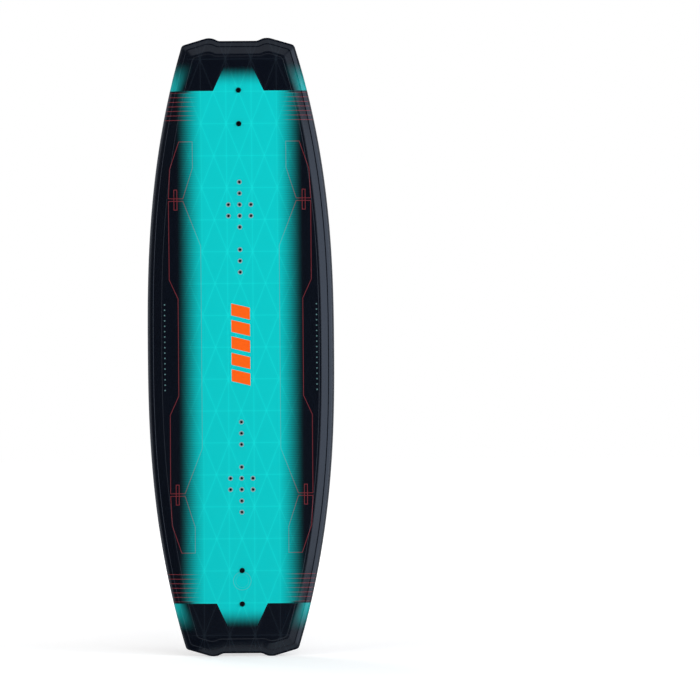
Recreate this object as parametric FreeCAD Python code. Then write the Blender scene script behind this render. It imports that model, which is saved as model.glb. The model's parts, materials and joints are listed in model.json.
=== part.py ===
"""Twin-tip wakeboard, standing upright on its tail, built as the pieces it is laid up from.

The board's long axis is +Z, its width runs along X, the deck faces -Y and the base faces +Y.
While the pieces are made, z = 0 is the middle of the board's length; the last step moves every
piece so that the origin lies under the middle of the finished board, on the floor.
All sizes are in millimetres.
"""
import FreeCAD, Part
import math
import os

V = FreeCAD.Vector

# ---------------------------------------------------------------- driving dimensions
# Plan outline
BOARD_LENGTH = 1390.0          # horn to horn
BOARD_WIDTH = 422.0            # at the middle
SHOULDER_HALF_WIDTH = 126.5    # half width where the rail runs out
SHOULDER_DROP = 17.0           # shoulder below the tip
RAIL_POWER = 2.5               # how late the rail curves in towards the shoulder
HORN_HALF_SPACING = 62.0       # from the centre line to each horn's corner
NOTCH_DEPTH = 6.5              # the flat between the horns, below the horns
HORN_INNER_ANGLE = 26.5        # the slope from the flat up to a horn, degrees
TIP_EDGE_ANGLE = 16.2          # the slope from a horn out to the shoulder, degrees
HORN_ROUNDING = 0.70           # share of the inner slope rounded by the horn
NOTCH_ROUNDING = 0.27          # share of the inner slope rounded by the notch corner
SHOULDER_ROUNDING = 6.0        # set-back of the shoulder's rounding

# Side view
ROCKER_HEIGHT = 60.0           # lift of each tip above the middle
CENTRE_THICKNESS = 22.0
TIP_THICKNESS = 12.0

# Base
CREASE_X = 115.0               # side creases, from the centre line
SPINE_HEIGHT = 3.0             # the centre spine stands this proud of the creases
EDGE_RISE = 6.0                # the outer panels rise this much to the widest rail

# Deck bevel, from the rail inwards
FLANGE_THICKNESS = 6.0
FLANGE_WIDTH = 4.0
OUTER_SLOPE_INSET = 12.0       # where the outer slope ends
OUTER_SLOPE_SHARE = 0.44       # share of the rise reached there
CREASE_INSET = 13.5            # bottom of the thin crease between the two slopes
CREASE_SHARE = 0.36
PLATEAU_INSET = 29.0           # where the inner slope meets the flat deck

# Layers, outside in
DECK_SHEET_THICKNESS = 0.8
UPPER_LAMINATE_THICKNESS = 1.1
LOWER_LAMINATE_THICKNESS = 1.1
BASE_SHEET_THICKNESS = 1.0
RAIL_BAND_WIDTH = 7.0

# Binding inserts, M6 on a one inch grid
INSERT_PITCH = 25.4
INSERT_STATION = 321.8         # third row of a group, from the middle of the board
INSERT_COLUMN = (2, 1, 0, -1, -2, -4, -5, -6)   # centre-line rows, in pitches
INSERT_SIDE_ROWS = (0, -1)     # rows that also have an insert on each side
INSERT_RADIUS = 5.5
INSERT_LENGTH = 12.0
INSERT_FOOT_RADIUS = 8.5
INSERT_FOOT_THICKNESS = 1.6
INSERT_THREAD_RADIUS = 2.5     # M6 minor radius
INSERT_THREAD_DEPTH = 10.0
INSERT_MOUTH_RADIUS = 3.2      # lead-in at the mouth of the thread

# Dense blocks in the core
INSERT_BLOCK_HALF_WIDTH = 46.0
BLOCK_MARGIN = 24.0            # beyond the outermost hole, along the board
FIN_BLOCK_HALF_WIDTH = 22.0

# Removable centre fins and their hardware
FIN_LENGTH = 190.0
FIN_END_FROM_TIP = 59.0        # outer end of the fin, from the tip
FIN_HEIGHT = 30.0
FIN_THICKNESS = 9.0
FIN_PEAK_SHARE = 0.80          # where the fin is highest, from its inner end
FIN_RAKE = ((0.35, 0.55), (0.70, 1.0))   # pulls on the raked edge: share of run, share of height
FIN_HEEL = ((0.95, 1.0), (1.0, 0.25))    # pulls on the outer end: share of length, of height
FIN_NOSE_WIDTH = 0.8           # at the pointed inner end
FIN_HEEL_ROUNDING = 6.0        # of the blunt outer end, in plan
FIN_FLANK_SHARE = 0.28         # share of the length over which the blade gets to full width
FIN_EDGE_SHARE = 1 / 3         # thickness left at the blade's edge
FIN_ROOT_MARGIN = 4.0          # full thickness this far past the nut, then it tapers
FIN_SCREW_SPACING = 75.0
FIN_SCREW_FROM_TIP = 154.0     # middle of the screw pair, from the tip
FIN_SCREW_RADIUS = 2.5         # M5 shank
FIN_SCREW_HEAD_RADIUS = 4.6
FIN_SCREW_HEAD_HEIGHT = 2.8
FIN_SCREW_SOCKET_RADIUS = 1.5
FIN_SCREW_SOCKET_DEPTH = 1.6
FIN_SCREW_ENGAGEMENT = 7.0     # thread inside the fin's nut
FIN_WASHER_RADIUS = 6.0
FIN_WASHER_THICKNESS = 1.0
FIN_NUT_RADIUS = 3.6
FIN_NUT_LENGTH = 10.0
FIN_SLEEVE_RADIUS = 5.0
SCREW_CLEARANCE = 0.3          # round a screw in its washer, sleeve and skins
SCREW_AXIS_REACH = 50.0        # a screw's axis this far past the deck is clear of the board

# Moulded side fins
SIDE_FIN_LENGTH = 238.0        # from the shoulder edge to the inner point
SIDE_FIN_WIDTH = 18.0          # at the tip
SIDE_FIN_POINT_WIDTH = 1.0     # at the inner point
SIDE_FIN_SPREAD_POWER = 0.75   # how early the fin widens
SIDE_FIN_HEIGHT = 13.0
SIDE_FIN_POINT_HEIGHT = 0.4
SIDE_FIN_RISE = 1.15           # above 1, the fin is at full height before the tip
SIDE_FIN_CREST = 2.4           # width of the flat crest
SIDE_FIN_SKIN = 1.2            # base sheet over the fin's filler
FILLER_SET_IN = 1.5            # skins' thicknesses that the sloped flanks take from the filler
THINNEST = 0.5                 # no filler where less than this is left

# ---------------------------------------------------------------- derived sizes
HALF = BOARD_LENGTH / 2
OUTSIDE = 3.0                  # how far a cutting surface runs past the outline
PROUD = 4.0                    # how far a tool or a root runs past the surface it meets
FAR = 200.0                    # clear of the board on either side
ALPHA = math.radians(HORN_INNER_ANGLE)
BETA = math.radians(TIP_EDGE_ANGLE)
HORN_SHARE = HORN_ROUNDING * math.sin(BETA) / (math.sin(ALPHA) + math.sin(BETA))
HORN_CORNER_RISE = NOTCH_DEPTH * HORN_SHARE / (1 - HORN_SHARE)   # rounded horn ends at HALF
ENDS = {"front": 1, "rear": -1}
SIDES = {"left": -1, "right": 1}


# ---------------------------------------------------------------- the board's surfaces
def half_width(u):
    """Half of the board's width at a station u along its length."""
    loss = BOARD_WIDTH / 2 - SHOULDER_HALF_WIDTH
    return BOARD_WIDTH / 2 - loss * (abs(u) / (HALF - SHOULDER_DROP)) ** RAIL_POWER


def rail_stretch(u):
    """Length of the rail per unit of station, for insets measured square to the rail."""
    loss = BOARD_WIDTH / 2 - SHOULDER_HALF_WIDTH
    shoulder = HALF - SHOULDER_DROP
    slope = loss * RAIL_POWER / shoulder * (abs(u) / shoulder) ** (RAIL_POWER - 1)
    return math.hypot(1, slope)


def rocker(u):
    """Lift of the base creases towards the deck: a parabola."""
    return ROCKER_HEIGHT * (u / HALF) ** 2


def base_rise(x):
    """Lift of the base above its creases: negative at the spine, positive at the rails."""
    if abs(x) < CREASE_X:
        return -SPINE_HEIGHT * (1 - abs(x) / CREASE_X)
    return EDGE_RISE * (abs(x) - CREASE_X) / (BOARD_WIDTH / 2 - CREASE_X)


def deck_level(u):
    """Level of the flat part of the deck, another parabola."""
    return rocker(u) + TIP_THICKNESS + (CENTRE_THICKNESS - TIP_THICKNESS) * (1 - (u / HALF) ** 2)


def bevel_level(u, share):
    """Level on the deck bevel, between the rail flange (share 0) and the flat deck (share 1)."""
    flange = rocker(u) + base_rise(half_width(u)) + FLANGE_THICKNESS
    return flange + share * (deck_level(u) - flange)


# ---------------------------------------------------------------- plan outline
def straight(start, end, count):
    """Evenly spaced plan points on a straight line."""
    steps = [i / (count - 1) for i in range(count)]
    return [(start[0] + (end[0] - start[0]) * t, start[1] + (end[1] - start[1]) * t) for t in steps]


def rounded(start, corner, end, count=5):
    """Plan points on the parabola that rounds a corner between two set-back points."""
    points = []
    for i in range(count):
        t = i / (count - 1)
        weights = ((1 - t) ** 2, 2 * t * (1 - t), t ** 2)
        trio = (start, corner, end)
        points.append(tuple(sum(w * p[k] for w, p in zip(weights, trio)) for k in (0, 1)))
    return points


def rail_x(u, inset):
    """Plan x of the right rail at station u, inset square to the rail."""
    return half_width(u) - inset * rail_stretch(u)


def tip_corner_points(inset):
    """Sharp corners of the tip's right half: notch, horn and shoulder."""
    horn_x = HORN_HALF_SPACING
    horn_x += inset * (1 / math.cos(ALPHA) - 1 / math.cos(BETA)) / (math.tan(ALPHA) + math.tan(BETA))
    notch_x = HORN_HALF_SPACING
    notch_x -= (HORN_CORNER_RISE + NOTCH_DEPTH + inset * (1 - 1 / math.cos(ALPHA))) / math.tan(ALPHA)

    def edge_u(x):
        return (HALF + HORN_CORNER_RISE - (x - HORN_HALF_SPACING) * math.tan(BETA)
                - inset / math.cos(BETA))

    shoulder_u = HALF - SHOULDER_DROP - inset
    for _ in range(8):
        shoulder_u = edge_u(rail_x(shoulder_u, inset))
    notch = (notch_x, HALF - NOTCH_DEPTH - inset)
    horn = (horn_x, edge_u(horn_x))
    shoulder = (rail_x(shoulder_u, inset), shoulder_u)
    return notch, horn, shoulder


def tip_pieces(inset):
    """Plan curves of the tip's right half, from the notch flat out to the rail."""
    notch, horn, shoulder = tip_corner_points(inset)
    slope = math.dist(notch, horn)
    notch_back = NOTCH_ROUNDING * slope
    horn_back = HORN_ROUNDING * slope
    up = (math.cos(ALPHA), math.sin(ALPHA))
    down = (math.cos(BETA), -math.sin(BETA))
    notch_in = (notch[0] - notch_back, notch[1])
    notch_out = (notch[0] + notch_back * up[0], notch[1] + notch_back * up[1])
    horn_in = (horn[0] - horn_back * up[0], horn[1] - horn_back * up[1])
    horn_out = (horn[0] + horn_back * down[0], horn[1] + horn_back * down[1])
    shoulder_in = (shoulder[0] - SHOULDER_ROUNDING * down[0],
                   shoulder[1] - SHOULDER_ROUNDING * down[1])
    rail_u = shoulder[1] - SHOULDER_ROUNDING
    shoulder_out = (rail_x(rail_u, inset), rail_u)
    return [
        rounded(notch_in, notch, notch_out),
        straight(notch_out, horn_in, 3),
        rounded(horn_in, horn, horn_out),
        straight(horn_out, shoulder_in, 3),
        rounded(shoulder_in, shoulder, shoulder_out),
    ]


def turned(pieces, flip_x, flip_u, backwards):
    """Mirrored copy of plan curves, in the order that keeps the loop going one way."""
    moved = [[(flip_x * x, flip_u * u) for x, u in piece] for piece in pieces]
    if backwards:
        moved = [piece[::-1] for piece in reversed(moved)]
    return moved


def outline_pieces(inset):
    """All plan curves of the outline, clockwise from the front notch."""
    right_front = tip_pieces(inset)
    right_rear = turned(right_front, 1, -1, True)
    left_rear = turned(right_front, -1, -1, False)
    left_front = turned(right_front, -1, 1, True)
    rail_u = right_front[-1][-1][1]
    stations = [rail_u * (1 - i / 6) for i in range(13)]
    right_rail = [(rail_x(u, inset), u) for u in stations]
    left_rail = turned([right_rail], -1, -1, False)[0]
    front_flat = [left_front[-1][-1], right_front[0][0]]
    rear_flat = [right_rear[-1][-1], left_rear[0][0]]
    loop = [front_flat] + right_front + [right_rail] + right_rear
    return loop + [rear_flat] + left_rear + [left_rail] + left_front


def outline_wire(inset, level):
    """Closed wire over the outline, where level(u) gives the height towards the deck."""
    edges = []
    for piece in outline_pieces(inset):
        points = [V(x, -level(u), u) for x, u in piece]
        if len(points) == 2:
            edges.append(Part.LineSegment(points[0], points[1]).toShape())
            continue
        curve = Part.BSplineCurve()
        steps = [i / (len(points) - 1) for i in range(len(points))]
        curve.interpolate(Points=points, Parameters=steps)
        edges.append(curve.toShape())
    return Part.Wire(edges)


def outline_prism(inset, low=-FAR, high=FAR):
    """Straight prism over the outline, from y = low to y = high."""
    wire = outline_wire(inset, lambda u: -low)
    return Part.Face(wire).extrude(V(0, high - low, 0))


# ---------------------------------------------------------------- regions that layers are cut from
def level_curve(middle, bend):
    """Side-view parabola y = -(middle + bend * (u / HALF) ** 2), run past both tips."""
    reach = HALF + 30.0
    end = bend * (reach / HALF) ** 2
    curve = Part.BezierCurve()
    curve.setPoles([V(0, -(middle + end), -reach), V(0, -(middle - end), 0), V(0, -(middle + end), reach)])
    return curve.toShape(), reach, -(middle + end)


def side_of_level(middle, bend, far_y):
    """Side-view face between a level curve and the straight line y = far_y."""
    curve, reach, end_y = level_curve(middle, bend)
    corners = [V(0, end_y, reach), V(0, far_y, reach), V(0, far_y, -reach), V(0, end_y, -reach)]
    lines = [Part.LineSegment(a, b).toShape() for a, b in zip(corners, corners[1:])]
    return Part.Face(Part.Wire([curve] + lines))


def above_base(depth):
    """Everything on the deck side of the base surface, which is moved inwards by depth."""
    region = None
    reach_x = BOARD_WIDTH / 2 + 4 * OUTSIDE
    knees = (-reach_x, -CREASE_X, 0.0, CREASE_X, reach_x)
    for start, end in zip(knees, knees[1:]):
        face = side_of_level(base_rise(start) + depth, ROCKER_HEIGHT, -FAR)
        face.translate(V(start, 0, 0))
        panel = face.extrude(V(end - start, base_rise(start) - base_rise(end), 0))
        region = panel if region is None else region.fuse(panel)
    return region.removeSplitter()


def below_deck(depth, edge_inset):
    """Everything on the base side of the deck surface, which is moved inwards by depth.

    The side is a loft through the outline, the flange, both slopes and the crease between
    them; the inner slope runs on past the flat deck, whose surface then cuts it.
    """
    past = 0.25
    slope_run = PLATEAU_INSET - CREASE_INSET
    top_inset = PLATEAU_INSET + past * slope_run
    top_share = 1 + past * (1 - CREASE_SHARE)
    rings = (
        (edge_inset, 0.0),
        (FLANGE_WIDTH, 0.0),
        (OUTER_SLOPE_INSET, OUTER_SLOPE_SHARE),
        (CREASE_INSET, CREASE_SHARE),
        (top_inset, top_share),
    )
    wires = [outline_wire(edge_inset, lambda u: -FAR)]
    for inset, share in rings:
        wires.append(outline_wire(inset, lambda u, share=share: bevel_level(u, share)))
    wires.append(outline_wire(top_inset, lambda u: FAR))
    side = Part.makeLoft(wires, True, True)
    flat = side_of_level(CENTRE_THICKNESS, ROCKER_HEIGHT - CENTRE_THICKNESS + TIP_THICKNESS, FAR)
    flat.translate(V(-BOARD_WIDTH, 0, 0))
    region = side.common(flat.extrude(V(2 * BOARD_WIDTH, 0, 0)))
    region.translate(V(0, depth, 0))
    return region


# ---------------------------------------------------------------- the board's layers
def board_layers():
    """Skins, rail band, laminates and the region of the core, stacked face to face."""
    under_sheet = below_deck(DECK_SHEET_THICKNESS, -OUTSIDE)
    over_sheet = above_base(BASE_SHEET_THICKNESS)
    under_laminate = below_deck(DECK_SHEET_THICKNESS + UPPER_LAMINATE_THICKNESS, -OUTSIDE)
    over_laminate = above_base(BASE_SHEET_THICKNESS + LOWER_LAMINATE_THICKNESS)

    whole = below_deck(0.0, 0.0).common(above_base(0.0))
    under_deck = whole.common(under_sheet)
    between = under_deck.common(over_sheet)
    inner_plan = outline_prism(RAIL_BAND_WIDTH)
    stack = between.common(inner_plan)
    under_upper = stack.common(under_laminate)
    return {
        "deck_sheet": whole.cut(under_sheet),
        "base_sheet": under_deck.cut(over_sheet),
        "rail_band": between.cut(inner_plan),
        "upper_laminate": stack.cut(under_laminate),
        "lower_laminate": under_upper.cut(over_laminate),
        "core": under_upper.common(over_laminate),
    }


def plan_block(half_x, low_u, high_u):
    """Rectangular block in plan, clear through the board."""
    corner = V(-half_x, -FAR, low_u)
    return Part.makeBox(2 * half_x, 2 * FAR, high_u - low_u, corner)


# ---------------------------------------------------------------- binding inserts
def insert_places(end):
    """Plan positions of one group's inserts; end is 1 for the front, -1 for the rear."""
    places = [(0.0, INSERT_STATION + row * INSERT_PITCH) for row in INSERT_COLUMN]
    for row in INSERT_SIDE_ROWS:
        for side in SIDES.values():
            places.append((side * INSERT_PITCH, INSERT_STATION + row * INSERT_PITCH))
    return [(x, end * u) for x, u in places]


def insert_blank(x, u, flat):
    """Outer shape of one insert: a barrel flush with the deck, over a wider foot."""
    mouth = -deck_level(u)
    bottom = mouth + INSERT_LENGTH
    inwards = V(0, 1, 0)
    start = V(x, mouth - PROUD, u)
    barrel = Part.makeCylinder(INSERT_RADIUS, INSERT_LENGTH + PROUD, start, inwards)
    foot_at = V(x, bottom - INSERT_FOOT_THICKNESS, u)
    foot = Part.makeCylinder(INSERT_FOOT_RADIUS, INSERT_FOOT_THICKNESS, foot_at, inwards)
    return barrel.fuse(foot).removeSplitter().common(flat)


def insert_thread(x, u):
    """Blind threaded hole of one insert, with a lead-in cone at its mouth."""
    mouth = -deck_level(u)
    inwards = V(0, 1, 0)
    start = V(x, mouth - PROUD, u)
    hole = Part.makeCylinder(INSERT_THREAD_RADIUS, INSERT_THREAD_DEPTH + PROUD, start, inwards)
    lead = INSERT_MOUTH_RADIUS - INSERT_THREAD_RADIUS
    outer = INSERT_MOUTH_RADIUS + 2 * lead
    cone = Part.makeCone(outer, INSERT_THREAD_RADIUS, 3 * lead, V(x, mouth - 2 * lead, u), inwards)
    return hole.fuse(cone)


def binding_inserts(end):
    """One group's inserts and the blanks that cut their seats."""
    flat = side_of_level(CENTRE_THICKNESS, ROCKER_HEIGHT - CENTRE_THICKNESS + TIP_THICKNESS, FAR)
    flat.translate(V(-BOARD_WIDTH, 0, 0))
    flat = flat.extrude(V(2 * BOARD_WIDTH, 0, 0))
    blanks = [insert_blank(x, u, flat) for x, u in insert_places(end)]
    inserts = [blank.cut(insert_thread(x, u)) for blank, (x, u) in zip(blanks, insert_places(end))]
    return Part.makeCompound(inserts), Part.makeCompound(blanks)


# ---------------------------------------------------------------- centre fins and their hardware
def fin_screw_axes(end):
    """Point on the deck and outward direction, square to the deck, of each fin screw."""
    bend = 2 * (ROCKER_HEIGHT - CENTRE_THICKNESS + TIP_THICKNESS) / HALF ** 2
    axes = []
    for side in (-1, 1):
        u = end * (HALF - FIN_SCREW_FROM_TIP + side * FIN_SCREW_SPACING / 2)
        outwards = V(0, -1, -bend * u)
        outwards.normalize()
        axes.append((V(0, -deck_level(u), u), outwards))
    return axes


def through_board(point, outwards, radius):
    """Round bar along a screw's axis, clear through the board and its fin."""
    start = point + outwards * SCREW_AXIS_REACH
    return Part.makeCylinder(radius, 2 * SCREW_AXIS_REACH, start, outwards * -1)


def base_distance(point, outwards):
    """Distance along a screw's axis from the deck to the base's spine."""
    depth = 0.0
    for _ in range(12):
        at = point - outwards * depth
        depth += (-rocker(at.z) + SPINE_HEIGHT - at.y) / -outwards.y
    return depth


def fin_screw(point, outwards):
    """Cap screw from the deck into the fin's nut, with a hexagon socket."""
    seat = point + outwards * FIN_WASHER_THICKNESS
    reach = FIN_WASHER_THICKNESS + base_distance(point, outwards) + FIN_SCREW_ENGAGEMENT
    head = Part.makeCylinder(FIN_SCREW_HEAD_RADIUS, FIN_SCREW_HEAD_HEIGHT, seat, outwards)
    shank = Part.makeCylinder(FIN_SCREW_RADIUS, reach, seat, outwards * -1)
    top = seat + outwards * FIN_SCREW_HEAD_HEIGHT
    across = V(1, 0, 0)
    corners = []
    for i in range(7):
        turn = FreeCAD.Rotation(outwards, 60 * i)
        corners.append(top + turn.multVec(across * FIN_SCREW_SOCKET_RADIUS))
    socket = Part.Face(Part.makePolygon(corners)).extrude(outwards * -FIN_SCREW_SOCKET_DEPTH)
    return head.fuse(shank).removeSplitter().cut(socket)


def fin_washer(point, outwards):
    """Flat washer between the screw's head and the deck."""
    disc = Part.makeCylinder(FIN_WASHER_RADIUS, FIN_WASHER_THICKNESS, point, outwards)
    hole = Part.makeCylinder(FIN_SCREW_RADIUS + SCREW_CLEARANCE, FIN_WASHER_THICKNESS, point, outwards)
    return disc.cut(hole)


def fin_nut_blank(point, outwards, board):
    """Outer shape of the threaded nut moulded into the fin, flush with the fin's foot."""
    depth = base_distance(point, outwards)
    start = point - outwards * (depth - PROUD)
    return Part.makeCylinder(FIN_NUT_RADIUS, FIN_NUT_LENGTH + PROUD, start, outwards * -1).cut(board)


def fin_stations():
    """Inner and outer end of the front centre fin, along the board."""
    outer = HALF - FIN_END_FROM_TIP
    return outer - FIN_LENGTH, outer


def fin_side_profile():
    """Side view of the front fin: from inside the board out to its long raked edge."""
    inner, outer = fin_stations()
    peak = inner + FIN_PEAK_SHARE * FIN_LENGTH

    def foot(u):
        return SPINE_HEIGHT - rocker(u)

    top = V(0, foot(peak) + FIN_HEIGHT, peak)
    (early, early_rise), (late, late_rise) = FIN_RAKE
    rake = Part.BezierCurve()
    rake.setPoles([
        V(0, foot(inner), inner),
        V(0, foot(inner) + early_rise * FIN_HEIGHT, inner + early * (peak - inner)),
        V(0, foot(peak) + late_rise * FIN_HEIGHT, inner + late * (peak - inner)),
        top,
    ])
    (high, high_rise), (low, low_rise) = FIN_HEEL
    heel = Part.BezierCurve()
    heel.setPoles([
        top,
        V(0, foot(peak) + high_rise * FIN_HEIGHT, inner + high * FIN_LENGTH),
        V(0, foot(outer) + low_rise * FIN_HEIGHT, inner + low * FIN_LENGTH),
        V(0, foot(outer), outer),
    ])
    corners = [
        V(0, foot(outer), outer),
        V(0, foot(outer) - PROUD, outer),
        V(0, foot(inner) - PROUD, inner),
        V(0, foot(inner), inner),
    ]
    lines = [Part.LineSegment(a, b).toShape() for a, b in zip(corners, corners[1:])]
    return Part.Face(Part.Wire([rake.toShape(), heel.toShape()] + lines))


def fin_plan_region():
    """Plan of the front fin: pointed at its inner end, blunt at its outer end."""
    inner, outer = fin_stations()
    full = FIN_THICKNESS / 2
    nose = FIN_NOSE_WIDTH / 2
    heel = full * FIN_EDGE_SHARE
    full_from = inner + FIN_FLANK_SHARE * FIN_LENGTH
    full_to = outer - FIN_HEEL_ROUNDING
    edges = []
    for side in (1, -1):
        flank = Part.BezierCurve()
        flank.setPoles([
            V(side * nose, -FAR, inner),
            V(side * full, -FAR, (inner + full_from) / 2),
            V(side * full, -FAR, full_from),
        ])
        end = Part.BezierCurve()
        end.setPoles([
            V(side * full, -FAR, full_to),
            V(side * full, -FAR, outer),
            V(side * heel, -FAR, outer),
        ])
        middle = Part.LineSegment(V(side * full, -FAR, full_from), V(side * full, -FAR, full_to))
        edges += [flank.toShape(), middle.toShape(), end.toShape()]
    edges.append(Part.LineSegment(V(-nose, -FAR, inner), V(nose, -FAR, inner)).toShape())
    edges.append(Part.LineSegment(V(-heel, -FAR, outer), V(heel, -FAR, outer)).toShape())
    wire = Part.Wire(Part.__sortEdges__(edges))
    return Part.Face(wire).extrude(V(0, 2 * FAR, 0))


def fin_taper_region():
    """Wedge, run along the fin's foot, that thins the blade towards its outer edge."""
    inner, outer = fin_stations()
    full = FIN_THICKNESS / 2
    edge = full * FIN_EDGE_SHARE
    low = SPINE_HEIGHT - rocker(inner)
    drop = rocker(outer) - rocker(inner)
    thin_from = low + FIN_NUT_LENGTH + FIN_ROOT_MARGIN
    clear = low + FIN_HEIGHT + 2 * PROUD
    section = [
        V(-full, -FAR, inner),
        V(full, -FAR, inner),
        V(full, thin_from, inner),
        V(edge, clear, inner),
        V(-edge, clear, inner),
        V(-full, thin_from, inner),
    ]
    face = Part.Face(Part.makePolygon(section + section[:1]))
    return face.extrude(V(0, -drop, outer - inner))


def centre_fin(end, board):
    """Removable fin, its foot cut to the base it seats on."""
    half = FIN_THICKNESS / 2
    blade = fin_side_profile()
    blade.translate(V(-half, 0, 0))
    blade = blade.extrude(V(2 * half, 0, 0)).common(fin_plan_region()).common(fin_taper_region())
    if end < 0:
        blade = blade.mirror(V(0, 0, 0), V(0, 0, 1))
    return blade.cut(board)


# ---------------------------------------------------------------- moulded side fins
def side_fin_loft(skin):
    """Front right side fin, or its filler when skin is the sheet's thickness over it."""
    inner = HALF - SHOULDER_DROP - SIDE_FIN_LENGTH
    spread = SIDE_FIN_WIDTH - SIDE_FIN_POINT_WIDTH
    climb = SIDE_FIN_HEIGHT - SIDE_FIN_POINT_HEIGHT
    ring_count = 9
    rings = []
    for i in range(ring_count):
        share = i / (ring_count - 1)
        u = inner + (HALF - inner) * share
        width = SIDE_FIN_POINT_WIDTH + spread * share ** SIDE_FIN_SPREAD_POWER
        turn = math.pi / 2 * min(1.0, SIDE_FIN_RISE * share)
        foot = width / 2 - FILLER_SET_IN * skin
        crest = min(SIDE_FIN_CREST / 2, foot / 2)
        top = SIDE_FIN_POINT_HEIGHT + climb * math.sin(turn) - skin
        if skin and min(foot, top) <= THINNEST:
            continue
        level = -rocker(u)
        ring = [
            V(CREASE_X - foot, level - PROUD, u),
            V(CREASE_X + foot, level - PROUD, u),
            V(CREASE_X + foot, level, u),
            V(CREASE_X + crest, level + top, u),
            V(CREASE_X - crest, level + top, u),
            V(CREASE_X - foot, level, u),
        ]
        rings.append(Part.makePolygon(ring + ring[:1]))
    return Part.makeLoft(rings, True, True)


def at_corner(shape, end, side):
    """Copy of a front right piece, mirrored to another corner of the board."""
    if end < 0:
        shape = shape.mirror(V(0, 0, 0), V(0, 0, 1))
    if side < 0:
        shape = shape.mirror(V(0, 0, 0), V(1, 0, 0))
    return shape


def side_fins():
    """Moulded fin shells, which join the base sheet, and the fillers inside them."""
    over_sheet = above_base(BASE_SHEET_THICKNESS)
    shell = side_fin_loft(0.0).cut(over_sheet).common(outline_prism(0.0))
    filler = side_fin_loft(SIDE_FIN_SKIN).cut(over_sheet).common(outline_prism(SIDE_FIN_SKIN))
    return shell, filler


# ---------------------------------------------------------------- the whole board
def build():
    """Every piece of the board, by name."""
    layers = board_layers()
    core = layers.pop("core")
    pieces = dict(layers)
    board = above_base(0.0)

    shell, filler = side_fins()
    for end_name, end in ENDS.items():
        for side_name, side in SIDES.items():
            corner_filler = at_corner(filler, end, side)
            pieces[f"side_fin_filler_{end_name}_{side_name}"] = corner_filler
            skin = at_corner(shell, end, side)
            pieces["base_sheet"] = pieces["base_sheet"].fuse(skin).cut(corner_filler)
    pieces["base_sheet"] = pieces["base_sheet"].removeSplitter()

    for end_name, end in ENDS.items():
        stations = [abs(u) for _, u in insert_places(end)]
        low, high = min(stations) - BLOCK_MARGIN, max(stations) + BLOCK_MARGIN
        low, high = sorted((end * low, end * high))
        insert_zone = plan_block(INSERT_BLOCK_HALF_WIDTH, low, high)
        inserts, blanks = binding_inserts(end)
        pieces[f"insert_block_{end_name}"] = core.common(insert_zone).cut(blanks)
        pieces[f"binding_inserts_{end_name}"] = inserts
        for node in ("deck_sheet", "upper_laminate"):
            pieces[node] = pieces[node].cut(blanks)

        axes = fin_screw_axes(end)
        fin_u = [point.z for point, _ in axes]
        fin_zone = plan_block(FIN_BLOCK_HALF_WIDTH, min(fin_u) - BLOCK_MARGIN, max(fin_u) + BLOCK_MARGIN)
        sleeve_bars = Part.makeCompound([through_board(*axis, FIN_SLEEVE_RADIUS) for axis in axes])
        clear_bars = Part.makeCompound(
            [through_board(*axis, FIN_SCREW_RADIUS + SCREW_CLEARANCE) for axis in axes])
        pieces[f"fin_sleeves_{end_name}"] = core.common(sleeve_bars).cut(clear_bars)
        pieces[f"fin_block_{end_name}"] = core.common(fin_zone).cut(sleeve_bars)
        for node in ("deck_sheet", "upper_laminate", "lower_laminate", "base_sheet"):
            pieces[node] = pieces[node].cut(clear_bars)
        core = core.cut(insert_zone).cut(fin_zone)

        screws = Part.makeCompound([fin_screw(*axis) for axis in axes])
        nut_blanks = Part.makeCompound([fin_nut_blank(*axis, board) for axis in axes])
        thread = Part.makeCompound([through_board(*axis, FIN_SCREW_RADIUS) for axis in axes])
        pieces[f"fin_screws_{end_name}"] = screws
        pieces[f"fin_washers_{end_name}"] = Part.makeCompound([fin_washer(*axis) for axis in axes])
        pieces[f"fin_nuts_{end_name}"] = nut_blanks.cut(thread)
        pieces[f"centre_fin_{end_name}"] = centre_fin(end, board).cut(nut_blanks)
    pieces["foam_core"] = core
    return pieces


def stand_up(pieces):
    """Move every piece so that the origin is under the middle of the standing board."""
    boxes = [shape.optimalBoundingBox(True, False) for shape in pieces.values()]
    low_y = min(box.YMin for box in boxes)
    high_y = max(box.YMax for box in boxes)
    low_z = min(box.ZMin for box in boxes)
    for shape in pieces.values():
        shape.translate(V(0, -(low_y + high_y) / 2, -low_z))
    print(f"box before the move: y from {low_y:.4f} to {high_y:.4f}, z from {low_z:.4f}")


os.makedirs("parts", exist_ok=True)
all_pieces = build()
stand_up(all_pieces)
for node, shape in all_pieces.items():
    solids = shape.Solids
    whole = solids[0] if len(solids) == 1 else Part.makeCompound(solids)
    print(node, len(solids), round(whole.Volume), whole.isValid())
    whole.exportStep(f"parts/{node}.step")
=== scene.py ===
"""Twin-tip wakeboard standing on its tail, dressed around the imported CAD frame.

Everything is in metres in the frame of the CAD model: +Z runs from tail to tip, the deck faces
-Y, the base faces +Y and the origin is on the floor under the middle of the board. Surfaces are
written in plan coordinates (x across, u along from mid length) and a level, the lift towards
the deck side. Prints are written in millimetres of the same plan.
"""

import json
import logging
import math
from dataclasses import dataclass, field
from enum import Enum
from typing import Callable, Iterable, Sequence, Union

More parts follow.
